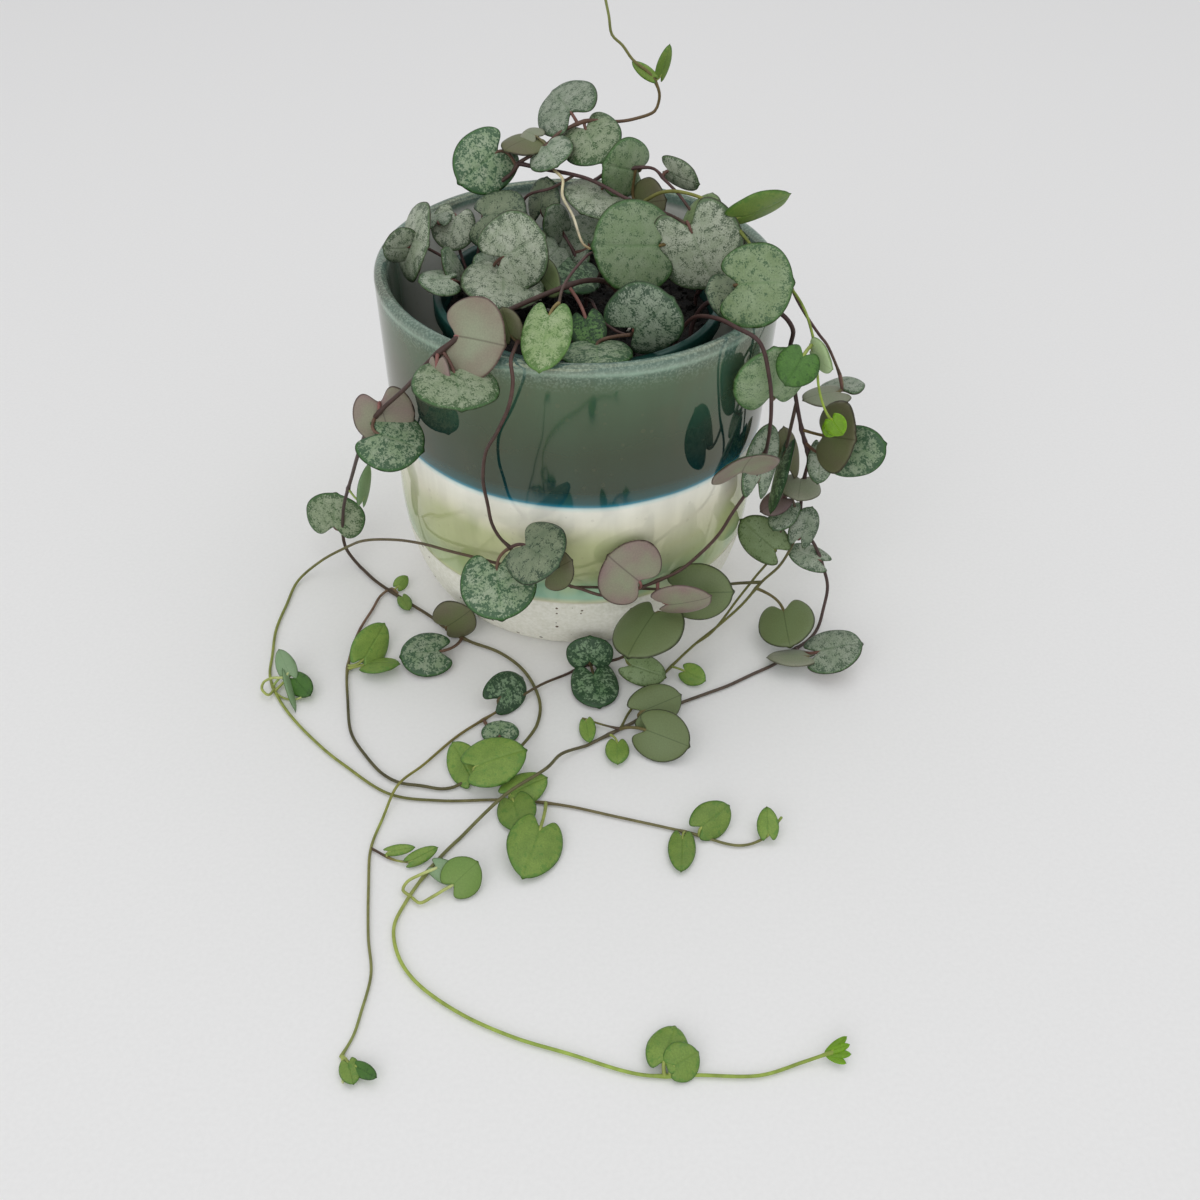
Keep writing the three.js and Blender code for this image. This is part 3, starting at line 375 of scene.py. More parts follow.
# Upper skins: ground, greener patches, flecks, rim band and edge, then the level above which a fleck
# shows and a fleck's length in millimetres
upper_skins = {
    "silver": ("#959f8d #82917a #415740 #47683c #332f24", 0.87, 0.5),
    # This brighter silver is a paler ground and also painted light, lifting crown leaves that face away from
    # the light or lie in shade
    "pale_silver": ("#afb7a3 #99a58c #4a5c45 #557048 #3a372c", 0.87, 0.45),
    "slate": ("#8b9885 #788972 #2c4631 #3c5c38 #26331f", 0.85, 0.62),
    "flecked": ("#8f9b80 #7e8e6e #39552f #3f6635 #2f3a22", 0.87, 0.6),
    "mottled": ("#93a288 #7f9672 #35573a #39652f #263a1c", 0.83, 0.8),
    "dark": ("#7d9576 #63825c #213f26 #2c542b #1d2b16", 0.79, 0.9),
    "sage": ("#879978 #788f67 #466340 #467238 #384a26", 0.9, 0.5),
    "meadow": ("#839672 #73885f #3f5d3c #466e38 #34451f", 0.895, 0.62),
    "spring": ("#9aad80 #86a068 #58793f #5f8a42 #4d6b30", 0.865, 0.6),
    "dusk": ("#7d896e #6c7b60 #2f4331 #375335 #2a2a20", 0.9, 0.62),
    "young": ("#789341 #6b883a #5d8436 #567e30 #456325", 0.93, 1.2),
    "deep_green": ("#4d7830 #426c29 #365c23 #345920 #2a471b", 0.93, 1.2),
    "deep_mottled": ("#557a40 #3d622f #16331a #23451b #1a3014", 0.81, 0.8),
    "lime": ("#6b9412 #60890e #6ea010 #7cac12 #6f9a1a", 0.93, 1.0),
    "green": ("#7f9468 #758a5b #566c3f #485d30 #393f23", 0.93, 0.8),
}
# Undersides: ground, blush, midrib and edge
under_skins = {
    "pink": "#8a8f74 #8a7670 #4b3d37 #4b3a33",
    "purple": "#6f635b #665453 #3d302e #362826",
    "cream": "#8d937a #857a6a #4d4536 #59403b",
    "olive": "#636c44 #656249 #393920 #302b1b",
    "pale": "#7f896e #868975 #5f664e #4d4c39",
    "green": "#6a7a50 #67754b #3f4f2b #2e321b",
    "fresh": "#728f46 #6b8b42 #55742f #4d6528",
    "pale_mint": "#b3c79a #a9c08e #8ba56c #6f8a50",
    "mint": "#859f7a #7b996f #628156 #4d6843",
}


def leaf_skins(plant):
    """The skins of every kind of leaf, by side and name."""
    own_colours = {"silver": {"ground": plant.silver}, "mottled": {"fleck": plant.fleck}}
    skins = {}
    for name, (codes, level, size) in upper_skins.items():
        colours = dict(zip(("ground", "cool", "fleck", "rim", "edge"), map(srgb, codes.split())))
        colours.update(own_colours.get(name, {}))
        skins["upper " + name] = upper_skin("waxy_leaf_" + name, level=level, size=size, **colours)
    for name, codes in under_skins.items():
        skins["under " + name] = under_skin("leaf_underside_" + name, *map(srgb, codes.split()))
    return skins


# Kinds of leaf: the skin on the side that its face turns to, the skin on the other side, the stalk's
# colour, and its form: how far the lobes reach back past the notch, and how narrow the tip half is
leaf_kinds = {
    "silver": ("upper silver", "under pink", "#6e4f45", 0.1, 0.04),
    "mottled": ("upper mottled", "under pink", "#6d5444", 0.1, 0.04),
    "dark": ("upper dark", "under olive", "#5d5238", 0.12, 0.0),
    "sage": ("upper sage", "under green", "#77653c", 0.06, 0.0),
    "meadow": ("upper meadow", "under pink", "#6e5a40", 0.16, 0.0),
    "spring": ("upper spring", "under fresh", "#8a7a4c", 0.06, 0.08),
    "dusk": ("upper dusk", "under pink", "#5e4540", 0.12, 0.0),
    # These two kinds carry the brighter silver skin, partly painted light on crown leaves that lie in shade
    "pale_silver": ("upper pale_silver", "under pink", "#6e4f45", 0.1, 0.04),
    "pale_kidney": ("upper pale_silver", "under pink", "#6e4f45", 0.24, 0.0),
    "flecked": ("upper flecked", "under pink", "#6e4f45", 0.12, 0.02),
    "mottled_kidney": ("upper slate", "under pink", "#8a5a50", 0.26, 0.0),
    "pale_mint": ("under pale_mint", "upper young", "#a0b466", 0.0, 0.2),
    "deep_mottled": ("upper deep_mottled", "under fresh", "#8a5f55", 0.1, 0.08),
    "young": ("upper young", "under fresh", "#a0ad5c", 0.0, 0.16),
    "deep": ("upper deep_green", "under fresh", "#9aa856", 0.0, 0.12),
    "young_back": ("under fresh", "upper young", "#a8b866", 0.02, 0.14),
    "mint_back": ("under mint", "upper young", "#a0b466", 0.0, 0.2),
    "lime": ("upper lime", "under fresh", "#a9c23a", 0.0, 0.1),
    "green": ("upper green", "under green", "#6e7440", 0.04, 0.06),
    "pink_back": ("under pink", "upper silver", "#8d5f59", 0.08, 0.06),
    "cream_back": ("under cream", "upper silver", "#9a6560", 0.08, 0.06),
    "purple_back": ("under purple", "upper silver", "#6f4b47", 0.04, 0.06),
    "olive_back": ("under olive", "upper dark", "#6a5a38", 0.04, 0.06),
    "pale_back": ("under pale", "upper silver", "#7b7452", 0.04, 0.08),
    "green_back": ("under green", "upper dark", "#6f6640", 0.04, 0.08),
}

# ---- where each stem stands in the soil, in millimetres ----
left_root = [-31, 8]
back_root = [-20, 24]
centre_root = [2, 4]
hanging_left_root = [14, -8]
front_root = [-10, -26]
ring_root = [27, -22]
right_root = [32.5, -11.5]
purple_root = [35, 7]


def rising(root, top=93):
    """The foot of a stem, straight up out of the soil."""
    return [[*root, 82], [*root, 88], [*root, top]]


# ---- where each stem and leaf lies, in millimetres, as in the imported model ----
# A stem is its route, its radii at the root and the tip, and its tints; a leaf is its notch, its tip,
# its width, the side that its face turns to, and its kind.
vines = {}
vines["vine_left"] = {
    "stems": [
        ([
            *rising(hanging_left_root), [12, -11, 101], [8, -13, 107], [2, -16, 109], [-4, -20, 109],
            [-12, -27, 109], [-20, -39, 111], [-27, -48, 111], [-31, -53, 111], [-37, -54, 106],
            [-45, -46, 93], [-56, -39, 78], [-70, -16, 40], [-76, -8, 20], [-77, -7, 5],
            [-72, -12, 1], [-66, -19, 0.7], [-57, -27, 0.7], [-46, -36, 0.7], [-41, -41, 0.7],
            [-33, -47, 0.7], [-23, -52, 0.7], [-15, -60, 0.7], [-10, -72, 0.7], [-10, -80, 0.7],
            [-14, -91, 3], [-20, -100, 5], [-28, -103, 2], [-35, -106, 0.7], [-42, -105, 0.7],
            [-48, -104, 0.7], [-53, -101, 0.7], [-59, -94, 0.7], [-64, -86, 0.7], [-67, -73, 0.7],
            [-69, -60, 0.7], [-68, -44, 0.7], [-65, -33, 0.7], [-63, -26, 0.7],
            [-60, -23, 0.9], [-58, -25, 1],
        ], 0.95, 0.6, "left_brown"),
    ],
    "leaves": [
        ([-31, -52, 112], [-18.5, -56, 112], 22, [-1.4, -3, 2.8], "cream_back"),
        ([2, -26, 103], [4, -34, 98], 10, [-0.6, -2, 3], "deep_mottled"),
        ([-30.8, -58.5, 106], [-27.8, -72, 104], 22, [0.6, -0.5, 4], "flecked"),
        ([-35, -58, 107], [-34.5, -62, 99.5], 9, [-2, -1.6, 1], "pink_back"),
        ([-54, -38, 83], [-51, -42, 72], 17, [0.6, -4, 1.4], "pink_back"),
        ([-55, -44, 77], [-42, -46.5, 73.5], 20, [0.8, -1.6, 4], "mottled"),
        ([-67, -16, 32], [-65, -9, 41], 8, [4, -1.4, 0.4], "mint_back"),
        ([-80, -7, 13.5], [-78.5, -4, 25], 20, [-0.4, -4, 1.5], "flecked"),
        ([-40, -45, 3], [-32, -45, 10], 14, [0, -4, 1], "olive_back"),
        ([-41, -55, 3], [-53, -57, 3], 16, [0, -1, 4], "mottled"),
        ([-28, -103, 2], [-34, -92, 4], 10, [-1, -1, 4], "young"),
        ([-27, -103, 7], [-13, -98, 9], 15, [0, -1, 4], "young"),
        ([-64, -59, 3], [-59, -45, 5], 11, [2, -1, 3], "young"),
        ([-63, -60, 3], [-53, -60, 4], 9, [0, 1, 4], "young"),
        ([-58, -23, 2], [-55, -20, 4], 4.5, [1, -3, 3], "young"),
        ([-56, -28, 2], [-53, -34, 2], 4.5, [-1, 0, 4], "young"),
    ],
}
vines["vine_front"] = {
    "stems": [
        ([
            *rising(front_root), [-12, -34, 102], [-15, -46, 107.5], [-16, -53, 108.7],
            [-16.6, -58, 108.4], [-16, -61, 105], [-16.9, -62.3, 99], [-20.5, -60.5, 89], [-24, -57, 80],
            [-25, -57, 71], [-24, -58, 64], [-23, -59, 58], [-21, -60, 54], [-18, -61, 51],
        ], 0.75, 0.7, "red_brown"),
    ],
    "leaves": [
        ([-22, -62, 45], [-20, -75, 37], 21.5, [0, -2, 4], "mottled"),
        ([-14, -63, 54], [-5, -75, 57], 19, [-2, -1, 3], "dusk"),
        ([-8, -64, 44], [-1, -65, 50], 12, [-2, -3, 2], "olive_back"),
        ([-16.9, -46.7, 108.8], [-19.4, -44, 115.6], 7.6, [-1.6, -4, 1.6], "olive_back"),
    ],
}
vines["vine_ring"] = {
    "curls": [
        ([[-89, -70.2, 1], [-86.3, -72, 0.6], [-83.2, -72.8, 0.7], [-81.1, -72.9, 1.6],
          [-79.3, -71.8, 2.6]], 0.32, 0.3),
    ],
    "stems": [
        ([
            *rising(ring_root), [30.8, -27.5, 104.5], [36.5, -35.5, 109], [41, -41, 109.5], [46.5, -45, 108],
            [50.3, -45.8, 98], [52.3, -44.5, 87], [53.3, -41, 73], [53, -37, 64], [51, -37, 56],
            [46, -41, 49], [42, -46, 45], [36, -52, 42], [30, -56, 39], [24, -58, 37],
            [19, -60, 36], [14, -62, 35.5], [8, -63, 35.5], [2, -61, 36], [-3, -60, 37],
            [-8, -58.5, 38.5], [-16, -56.5, 39.5], [-23, -53.5, 39], [-28, -51, 38.5],
            [-37, -45, 36], [-46, -37, 32], [-56, -28, 26], [-68, -19, 18], [-75, -14, 11],
            [-84, -14, 5], [-91, -20, 1.5], [-93, -32, 0.7], [-94, -43, 0.7], [-93, -54, 0.7],
            [-92, -63, 0.7], [-89, -70, 0.7], [-83, -79, 0.7], [-72, -91, 0.7], [-64, -98, 0.7],
            [-50, -108, 0.7], [-36, -110, 0.7], [-18, -109.5, 0.7], [-3, -111, 0.7], [13, -115, 0.7],
            [32, -120, 0.7], [45, -124, 0.7], [52, -122, 1.5], [57, -117, 4],
        ], 0.75, 0.55, "ring"),
    ],
    "leaves": [
        ([46, -45, 67], [47, -52, 78], 20, [-1, 3, 1], "silver"),
        ([53, -37, 57], [56, -29, 72], 13, [2, -3, 1], "silver"),
        ([18.5, -62.5, 40.5], [9.5, -60, 47.5], 21, [-1, -3.6, 3], "pink_back"),
        ([26.5, -62.5, 32], [38.5, -66, 38], 13, [-1, -4, -1], "pink_back"),
        ([-17, -109, 1.5], [-7, -103, 2], 10, [0, -1, 4], "young"),
        ([-16, -111, 1.5], [-13, -121, 1.5], 11, [-1, 0, 4], "young"),
        ([-8, -121, 3], [-12, -136, 2], 15, [1, 0, 4], "young"),
        ([35, -120, 3], [43, -114, 5], 10, [0, -2, 3], "young"),
        ([30, -122, 2], [29, -133, 2], 7.5, [0, 0, 4], "young"),
        ([53, -122, 3], [53, -115, 6], 6, [-1, -2, 4], "young"),
        ([-85, -66, 4], [-89, -59, 8], 6, [0, -2, 4], "mint_back", [
            [-89.5, -69, 1], [-90.5, -72.4, 2.2], [-92.7, -70.3, 2.5], [-92.5, -67.9, 3],
            [-90.3, -66.7, 3.5], [-86.6, -66.7, 4], [-85.2, -64.8, 4.5],
        ]),
        ([-84, -66, 3], [-78, -73, 3], 7, [-1, -1, 4], "deep", [
            [-89, -69.6, 1.2], [-87, -67.4, 2.2], [-84.5, -64.6, 3.3], [-83.4, -66, 3.2],
        ]),
        ([-86, -66, 4], [-81.5, -77.6, 1], 4, [5, 1, 3], "mint_back"),
    ],
}
vines["vine_right"] = {
    "curls": [([[-51.6, -184, 0.8], [-51, -187, 0.6], [-50.7, -190, 0.6]], 0.5, 0.3)],
    "stems": [
        ([
            *rising(right_root), [35.5, -14, 101.5], [44.5, -23, 108.2], [50, -30, 109.4], [54, -32, 108.6],
            [57.5, -31.5, 104], [58, -29, 97], [60, -27, 88], [63, -25, 77], [66, -24, 67],
            [70, -22, 55], [70, -21, 49], [70, -21, 41], [71, -22, 32], [73, -24, 28],
            [76, -25, 24], [79, -28, 18], [81, -31, 12], [80, -35, 6], [78, -40, 2], [74, -45, 0.7],
            [68, -50, 0.7], [63, -55, 0.7], [55, -60, 0.7], [47, -65, 0.7], [41, -68, 0.7],
            [31, -73, 0.7], [24, -77, 0.7], [20, -79, 0.7], [14, -83, 0.7], [5, -89, 0.8],
            [-3, -95, 3.5], [-7, -102, 5.6], [-18, -111, 5], [-30, -123, 0.8], [-37, -133, 0.7],
            [-42, -143, 0.7], [-44, -150, 0.7], [-42, -158, 0.7], [-37, -165, 0.7],
            [-26, -173, 0.7], [-13, -179, 0.7], [0, -183, 0.7], [17, -188, 0.7], [30, -188, 0.7],
            [44, -188, 0.7], [54, -185, 1.2], [62, -183, 3],
        ], 0.85, 0.6, "lime_end"),
        ([
            [63, -25, 77], [63, -22, 64], [63, -21, 54], [65, -21, 45], [68, -24, 38], [70, -24, 32],
            [69, -26, 27], [65, -30, 20], [59, -34, 16], [53, -39, 11], [46, -44, 7], [38, -50, 4],
            [31, -57, 2], [23, -67, 0.8], [17, -76, 1], [14, -84, 2],
        ], 0.7, 0.55, "olive"),
        ([
            [65, -21, 45], [63, -28, 24], [57, -32, 16], [52, -37, 12], [43, -47, 6], [38, -50, 4],
        ], 0.6, 0.55, "olive"),
        ([
            [59, -34, 16], [51, -37, 18], [43, -43, 22], [31, -52, 28], [25, -55, 31],
            [18, -57, 33], [6, -59, 35], [-1, -58.5, 34.5],
        ], 0.65, 0.6, "dull_olive"),
        ([
            [31, -52, 28], [27, -56, 23], [23, -57, 17], [19, -58, 10], [14, -56, 3], [3, -58, 1.5],
            [-2, -61, 1], [-10, -68, 3.2], [-22, -77, 1.5], [-33, -86, 0.7], [-42, -98, 1.5],
            [-48, -107, 3.4], [-51, -116, 1], [-53, -126, 0.7], [-52, -138, 0.7], [-50, -153, 0.7],
            [-48, -163, 0.7], [-49, -173, 0.7], [-50, -179, 0.7], [-52, -184, 0.7],
        ], 0.65, 0.5, "low_brown"),
        ([[-53, -126, 0.7], [-46, -130, 1], [-40, -131, 1.5]], 0.45, 0.4, "low_brown"),
        ([[14, -84, 2], [9, -82, 1.5], [3, -80, 2]], 0.5, 0.4, "olive"),
    ],
    "leaves": [
        ([52.5, -41.5, 89], [51.5, -42.5, 104], 21.5, [1.2, -4, 0.6], "sage"),
        ([71, -29, 68.5], [77, -40.5, 75], 21, [-4, -1.3, 1.2], "olive_back"),
        ([76, -33, 64], [87, -38, 72], 15, [-2, -3, 1], "mottled"),
        ([73, -24, 60], [72, -30, 52], 8, [-1, -3, 2], "silver"),
        ([65, -21, 50], [63, -14, 61], 10, [2, -3, 2], "olive_back"),
        ([62, -24, 58], [58, -34, 44], 12, [-4, 0, 1], "dark"),
        ([69, -21, 47], [67, -30, 46], 13, [0, 0, 4], "pale_back"),
        ([64, -24, 42], [57, -26, 38], 8, [-1, -2, 3], "purple_back"),
        ([66, -23, 38], [61, -30, 34], 9, [-1, -1, 4], "silver"),
        ([70, -29, 30], [73, -25, 39], 9, [0, -4, 2], "silver"),
        ([78, -28, 20], [68, -24, 22], 9, [0, -2, 4], "silver"),
        ([75, -55.5, 6.5], [88, -55.5, 11], 17, [-1.5, -0.4, 4], "silver"),
        ([72, -56, 5], [60, -55, 4], 10, [0, 1, 4], "pale_back"),
        ([-35, -134, 4], [-27, -138, 3], 6, [-1, -2, 4], "mint_back", [
            [-40.7, -141, 0.9], [-42.9, -139.5, 1.5], [-42, -137.5, 2.2], [-38.8, -136, 3.2],
            [-34.6, -134.4, 4],
        ]),
        ([-30, -139, 3], [-24, -134, 6], 11, [0, -2, 3], "young_back", [
            [-40.3, -141.5, 1], [-38.2, -143.1, 1.2], [-35.2, -141.7, 1.8], [-31.5, -139.5, 2.6],
            [-28.6, -138, 3.2],
        ]),
        ([22, -186, 3], [25, -177, 3], 10, [0, 0, 4], "young"),
        ([24, -187, 2], [30, -184, 3], 9, [0, -2, 4], "young"),
        ([63, -29, 25], [52, -22.5, 31.5], 13.5, [-1, -3, 2], "green"),
        ([66, -40, 10], [66.5, -54, 8], 18, [-1.6, -0.7, 4], "green_back"),
        ([24, -58.5, 25], [15.5, -73, 21.5], 22, [-1.2, 0, 4], "green_back"),
        ([31, -54, 29], [46, -58, 33], 17, [-1, -3, 2], "green_back"),
        ([17, -60, 3], [28, -64, 2], 10, [0, -2, 3], "green"),
        ([34, -61, 3], [40, -65, 3], 7, [-1, -2, 3], "young"),
        ([5, -59, 4], [5, -56, 12], 14.5, [0, -4, 1], "dark"),
        ([6, -62, 3], [8, -75, 2], 14.5, [0, 0, 4], "dark"),
        ([-22, -75, 2.5], [-15, -67, 3.5], 12, [1, -2, 3], "dark"),
        ([-21, -87, 1.5], [-21, -81, 2], 11, [0, -1, 4], "mottled"),
        ([20, -80, 3], [32, -74, 4], 13, [1, -2, 3], "green_back"),
        ([21, -88, 3], [33, -94, 3], 15, [-1, -2, 3], "green_back"),
        ([13, -89, 2], [13, -97, 2], 7, [0, 0, 4], "young"),
        ([-42, -131, 2], [-35, -128, 4], 4, [0, -2, 3], "young"),
        ([-50, -186, 2], [-48, -191, 2], 5, [0, 0, 4], "young"),
        ([-48, -128, 2], [-41, -128, 4], 3, [-1, -3, 3], "young"),
        ([-48, -187, 2], [-43, -190, 3], 3.5, [-1, -1, 4], "deep"),
        ([60.5, -183, 2.5], [64.5, -180.6, 5], 2.2, [0, -2, 3], "lime"),
        ([61, -183, 3], [65, -182.2, 4.4], 2, [0, -1, 3], "lime"),
        ([61, -183.4, 2.4], [65.2, -184, 3.4], 2.2, [0, -1, 3], "lime"),
        ([60.5, -183.6, 2], [64, -185.6, 2.2], 2, [0, -1, 3], "lime"),
        ([4, -81, 2], [5, -89, 2], 5, [-1, 0, 4], "young"),
    ],
}
vines["crown_back"] = {
    "stems": [
        ([
            *rising(back_root), [-23, 25, 104], [-25, 26, 112], [-24, 26, 117.5], [-20, 26, 121],
            [-18, 26, 124], [-15, 26, 126], [-10, 28, 128.5], [-7, 30, 131], [-2, 31, 133.5],
            [2, 32, 134.5], [11, 32, 134.5], [16, 32, 135.5], [21, 31, 138], [22, 31, 140.5],
            [22, 30, 143.5], [21, 30, 146], [19, 29, 149], [14, 28, 153], [11, 27, 157],
            [8, 26, 160], [7, 25, 165], [6, 25, 169], [5, 25, 173], [5, 24, 181],
        ], 0.9, 0.5, "climbing"),
        ([
            [-18, 26, 124], [-10, 22, 124], [-3, 18, 124.5], [2, 15, 124.5], [7, 12, 123.5],
            [13, 8, 122], [17, 6, 121.5], [22, 4, 120.5], [28, 0, 119.5], [30, -3, 119],
        ], 0.8, 0.7, "purple_brown"),
        ([
            [4, 14, 124.5], [7, 17, 125], [17, 20, 126], [21, 18, 126.5], [24, 14, 125],
            [28, 10, 122.5], [31, 6, 120], [33, 3, 119],
        ], 0.65, 0.6, "purple_brown"),
        ([
            [*back_root, 93], [-18, 23, 105], [-16, 22, 115.5], [-8, 20, 119.5], [-2, 18, 124],
        ], 0.7, 0.6, "purple_brown"),
        ([
            [17, 6, 121.5], [22, 4, 125.5], [26, 2, 127], [32, -1, 127], [38, -6, 126],
            [42, -8, 122.5], [45, -11, 120], [49, -15, 116.5], [53, -19, 114], [58, -23, 110.5],
            [61, -27, 107], [63, -31, 102.5], [64, -33, 99], [65, -35, 94], [66, -37, 89],
            [68, -39, 84], [70, -40, 81],
        ], 0.65, 0.5, "fresh"),
    ],
    "leaves": [
        ([-24, 30, 126], [-35, 21, 120], 18, [1, -3, 2], "mottled"),
        ([-3, 34, 136], [-9, 47, 138], 20, [-2, -1, 3], "silver"),
        ([1, 31, 133], [6, 18, 129], 18, [-1, -2, 3], "flecked"),
        ([-14, 32, 129], [-22, 26, 128], 14, [0, 0, 4], "olive_back"),
        ([-13, 31, 130], [-17, 35, 130], 8, [-1, -1, 4], "pale_back"),
        ([-10, 27, 129], [-7, 16, 128], 14, [-2, -1, 4], "silver"),
        ([17, 22, 124], [7, 14, 129], 17, [3, -3, 0], "sage"),
        ([25, 16, 127], [33, 9, 126], 10, [-3.5, -2.4, -1], "pale_silver"),
        ([17, 18, 116], [24, 12, 120], 14, [-3, -3, 1], "olive_back"),
        ([6.3, 19.5, 119.5], [0.5, 8.5, 118], 18.5, [0.7, -1.3, 4], "pale_silver"),
        ([21.7, -10.7, 117], [3.8, -16.6, 119.5], 25, [1.5, -3.8, 2.4], "sage"),
        ([29.6, -10, 122.5], [38, -12.5, 105.5], 25, [-0.4, -3.6, 0.6], "pale_silver"),
        ([42.5, -8.5, 124.5], [56.5, -7.1, 130], 15.5, [1.6, -4, -3.1], "young"),
        ([32, 0, 118.5], [36.5, 6.6, 125], 13, [-3.2, -1.6, 4], "green"),
        ([44, -6, 116], [46, -9, 119], 7, [-3, -3, -1], "silver"),
        ([58.9, -44.2, 104], [53.9, -51.6, 99.5], 11.5, [0, -2, 3], "deep"),
        ([62.1, -38.6, 102.1], [66, -46, 100.6], 10, [-3, -2.6, -1], "pale_mint"),
        ([70, -41, 82], [73, -44, 79], 6, [-1, -3, 2], "lime"),
        ([71, -40, 80], [69, -42, 77], 5, [-1, -3, 2], "lime"),
        ([20, 29, 148], [14, 29, 152], 3.5, [1, -4, 1], "young"),
        ([22, 30, 148], [24, 28, 157], 4, [1, -4, -1], "young"),
        ([5, 24, 180], [9, 23, 183], 3.5, [-1, -3, 2], "young"),
        ([5, 24, 180], [1, 24, 183], 3.5, [1, -3, 2], "young"),
    ],
}
vines["crown_left"] = {
    "stems": [
        ([*rising(left_root, 94), [-34, 8, 99], [-40, 7, 104], [-46, 6, 108]], 0.8, 0.6, "purple_brown"),
        ([[*left_root, 93], [-34, 11, 100], [-37, 16, 108], [-38, 18, 112]], 0.7, 0.6, "purple_brown"),
        ([[*left_root, 93], [-30, 12, 101], [-29, 14, 108], [-28, 15, 113]], 0.7, 0.6, "purple_brown"),
        ([[*left_root, 93], [-32, 2, 97], [-34, -3, 100]], 0.6, 0.5, "purple_brown"),
    ],
    "leaves": [
        ([-50, 6, 109.5], [-42.8, -5.4, 113.5], 22.5, [-4, -1.9, 2], "pale_silver"),
        ([-36, 16, 112.5], [-38, 8, 105.5], 13, [0.6, -3, 3], "pale_silver"),
        ([-28.3, 14, 113], [-15.7, 10.3, 116], 19.5, [-1.6, -2.4, 4], "dusk"),
        ([-36, -7.2, 103.8], [-44.6, -10.2, 105], 11.5, [0.4, -0.8, 4], "silver"),
        ([-34, 0, 101], [-38, -4, 111], 10, [4, -1, 1], "silver"),
        ([-41, 12, 112], [-41, 19, 113], 8, [-1, 1, 4], "silver"),
        ([-48, 0, 110], [-54.5, -3.6, 111], 12, [2, -4, -1.1], "pale_silver"),
    ],
}
vines["crown_centre"] = {
    "stems": [
        ([
            *rising(centre_root, 94), [0, 5, 99], [-5, 5, 103], [-12, 4, 106], [-20, 3, 106],
            [-24, -1, 105],
        ], 0.8, 0.6, "purple_brown"),
        ([
            [*centre_root, 93], [4, -6, 97], [6, -16, 98], [10, -25, 99], [14, -31, 101],
            [15, -34, 104],
        ], 0.7, 0.6, "purple_brown"),
        ([[*centre_root, 93], [0, 9, 101], [-4, 14, 107], [-9, 20, 110]], 0.7, 0.6, "purple_brown"),
        ([
            [*centre_root, 93], [6, -2, 104], [6, -8, 112], [3, -14, 116], [-1, -21, 115],
            [-4, -31, 115], [-5, -42, 116],
        ], 0.65, 0.55, "purple_brown"),
    ],
    "leaves": [
        ([-22, -6, 110], [-10, -10, 119], 21.5, [-2, -4, 1.4], "pale_kidney"),
        ([-21.5, -2.5, 105.5], [-20.7, -19, 102.5], 24, [0.4, -0.7, 4], "pale_silver"),
        ([-22, 4, 103], [-30, 0, 106], 9, [2, -1, 3], "silver"),
        ([-1, 4, 104], [-3, -10, 103], 17, [1, 0, 4], "dark"),
        ([-6, 8, 107], [-10, -3, 107], 13, [2, -1, 3], "silver"),
        ([-11.5, -2, 105], [-5.5, -12, 103], 9.5, [-4, -1, 1.5], "green_back"),
        ([-11.5, 21, 111.5], [-10.3, 25, 120.5], 12.5, [-3.4, -3.6, 2], "dusk"),
        ([-5, 14, 109], [-9, 9, 118], 10, [3, -3, 0], "silver"),
        ([3, 12, 106], [-5, 23, 108], 17, [-1, -2, 3], "silver"),
        ([5, -36, 101.3], [5.2, -49, 102.8], 19, [-0.2, -0.1, 4], "mottled"),
        ([14.6, -36, 105.8], [24, -38.6, 115.8], 20.5, [-1, -4, 0], "mottled_kidney"),
        ([-7.3, -46, 115], [-9.5, -60.4, 107.6], 13, [-0.6, -2, 3], "spring"),
    ],
}
vines["vine_purple"] = {
    "stems": [
        ([
            *rising(purple_root), [37.5, 6, 101], [46, 3, 109.2], [54, -1, 111], [58, -4, 109.5],
            [61, -6, 102], [65, -8, 96], [70, -10, 90], [72, -11, 88], [76, -12, 81], [77, -13, 79],
        ], 0.75, 0.6, "purple_brown"),
        ([
            [*purple_root, 93], [38, 0, 102], [43.8, -11.5, 108], [43.8, -21, 112], [42.5, -26, 113.5],
        ], 0.7, 0.6, "purple_brown"),
    ],
    "leaves": [
        ([41.3, -31, 116.5], [55, -34.5, 119.5], 22.5, [-1.6, -4, 3.6], "meadow"),
        ([42.5, -23.5, 109], [34.2, -26, 112], 13, [2.2, -2.6, 3.6], "dusk"),
        ([78, -15, 75], [79, -4, 73], 14, [-1, 1, 4], "silver"),
        ([77, -16, 75], [66, -20, 75], 11, [0, 0, 4], "pale_back"),
    ],
}

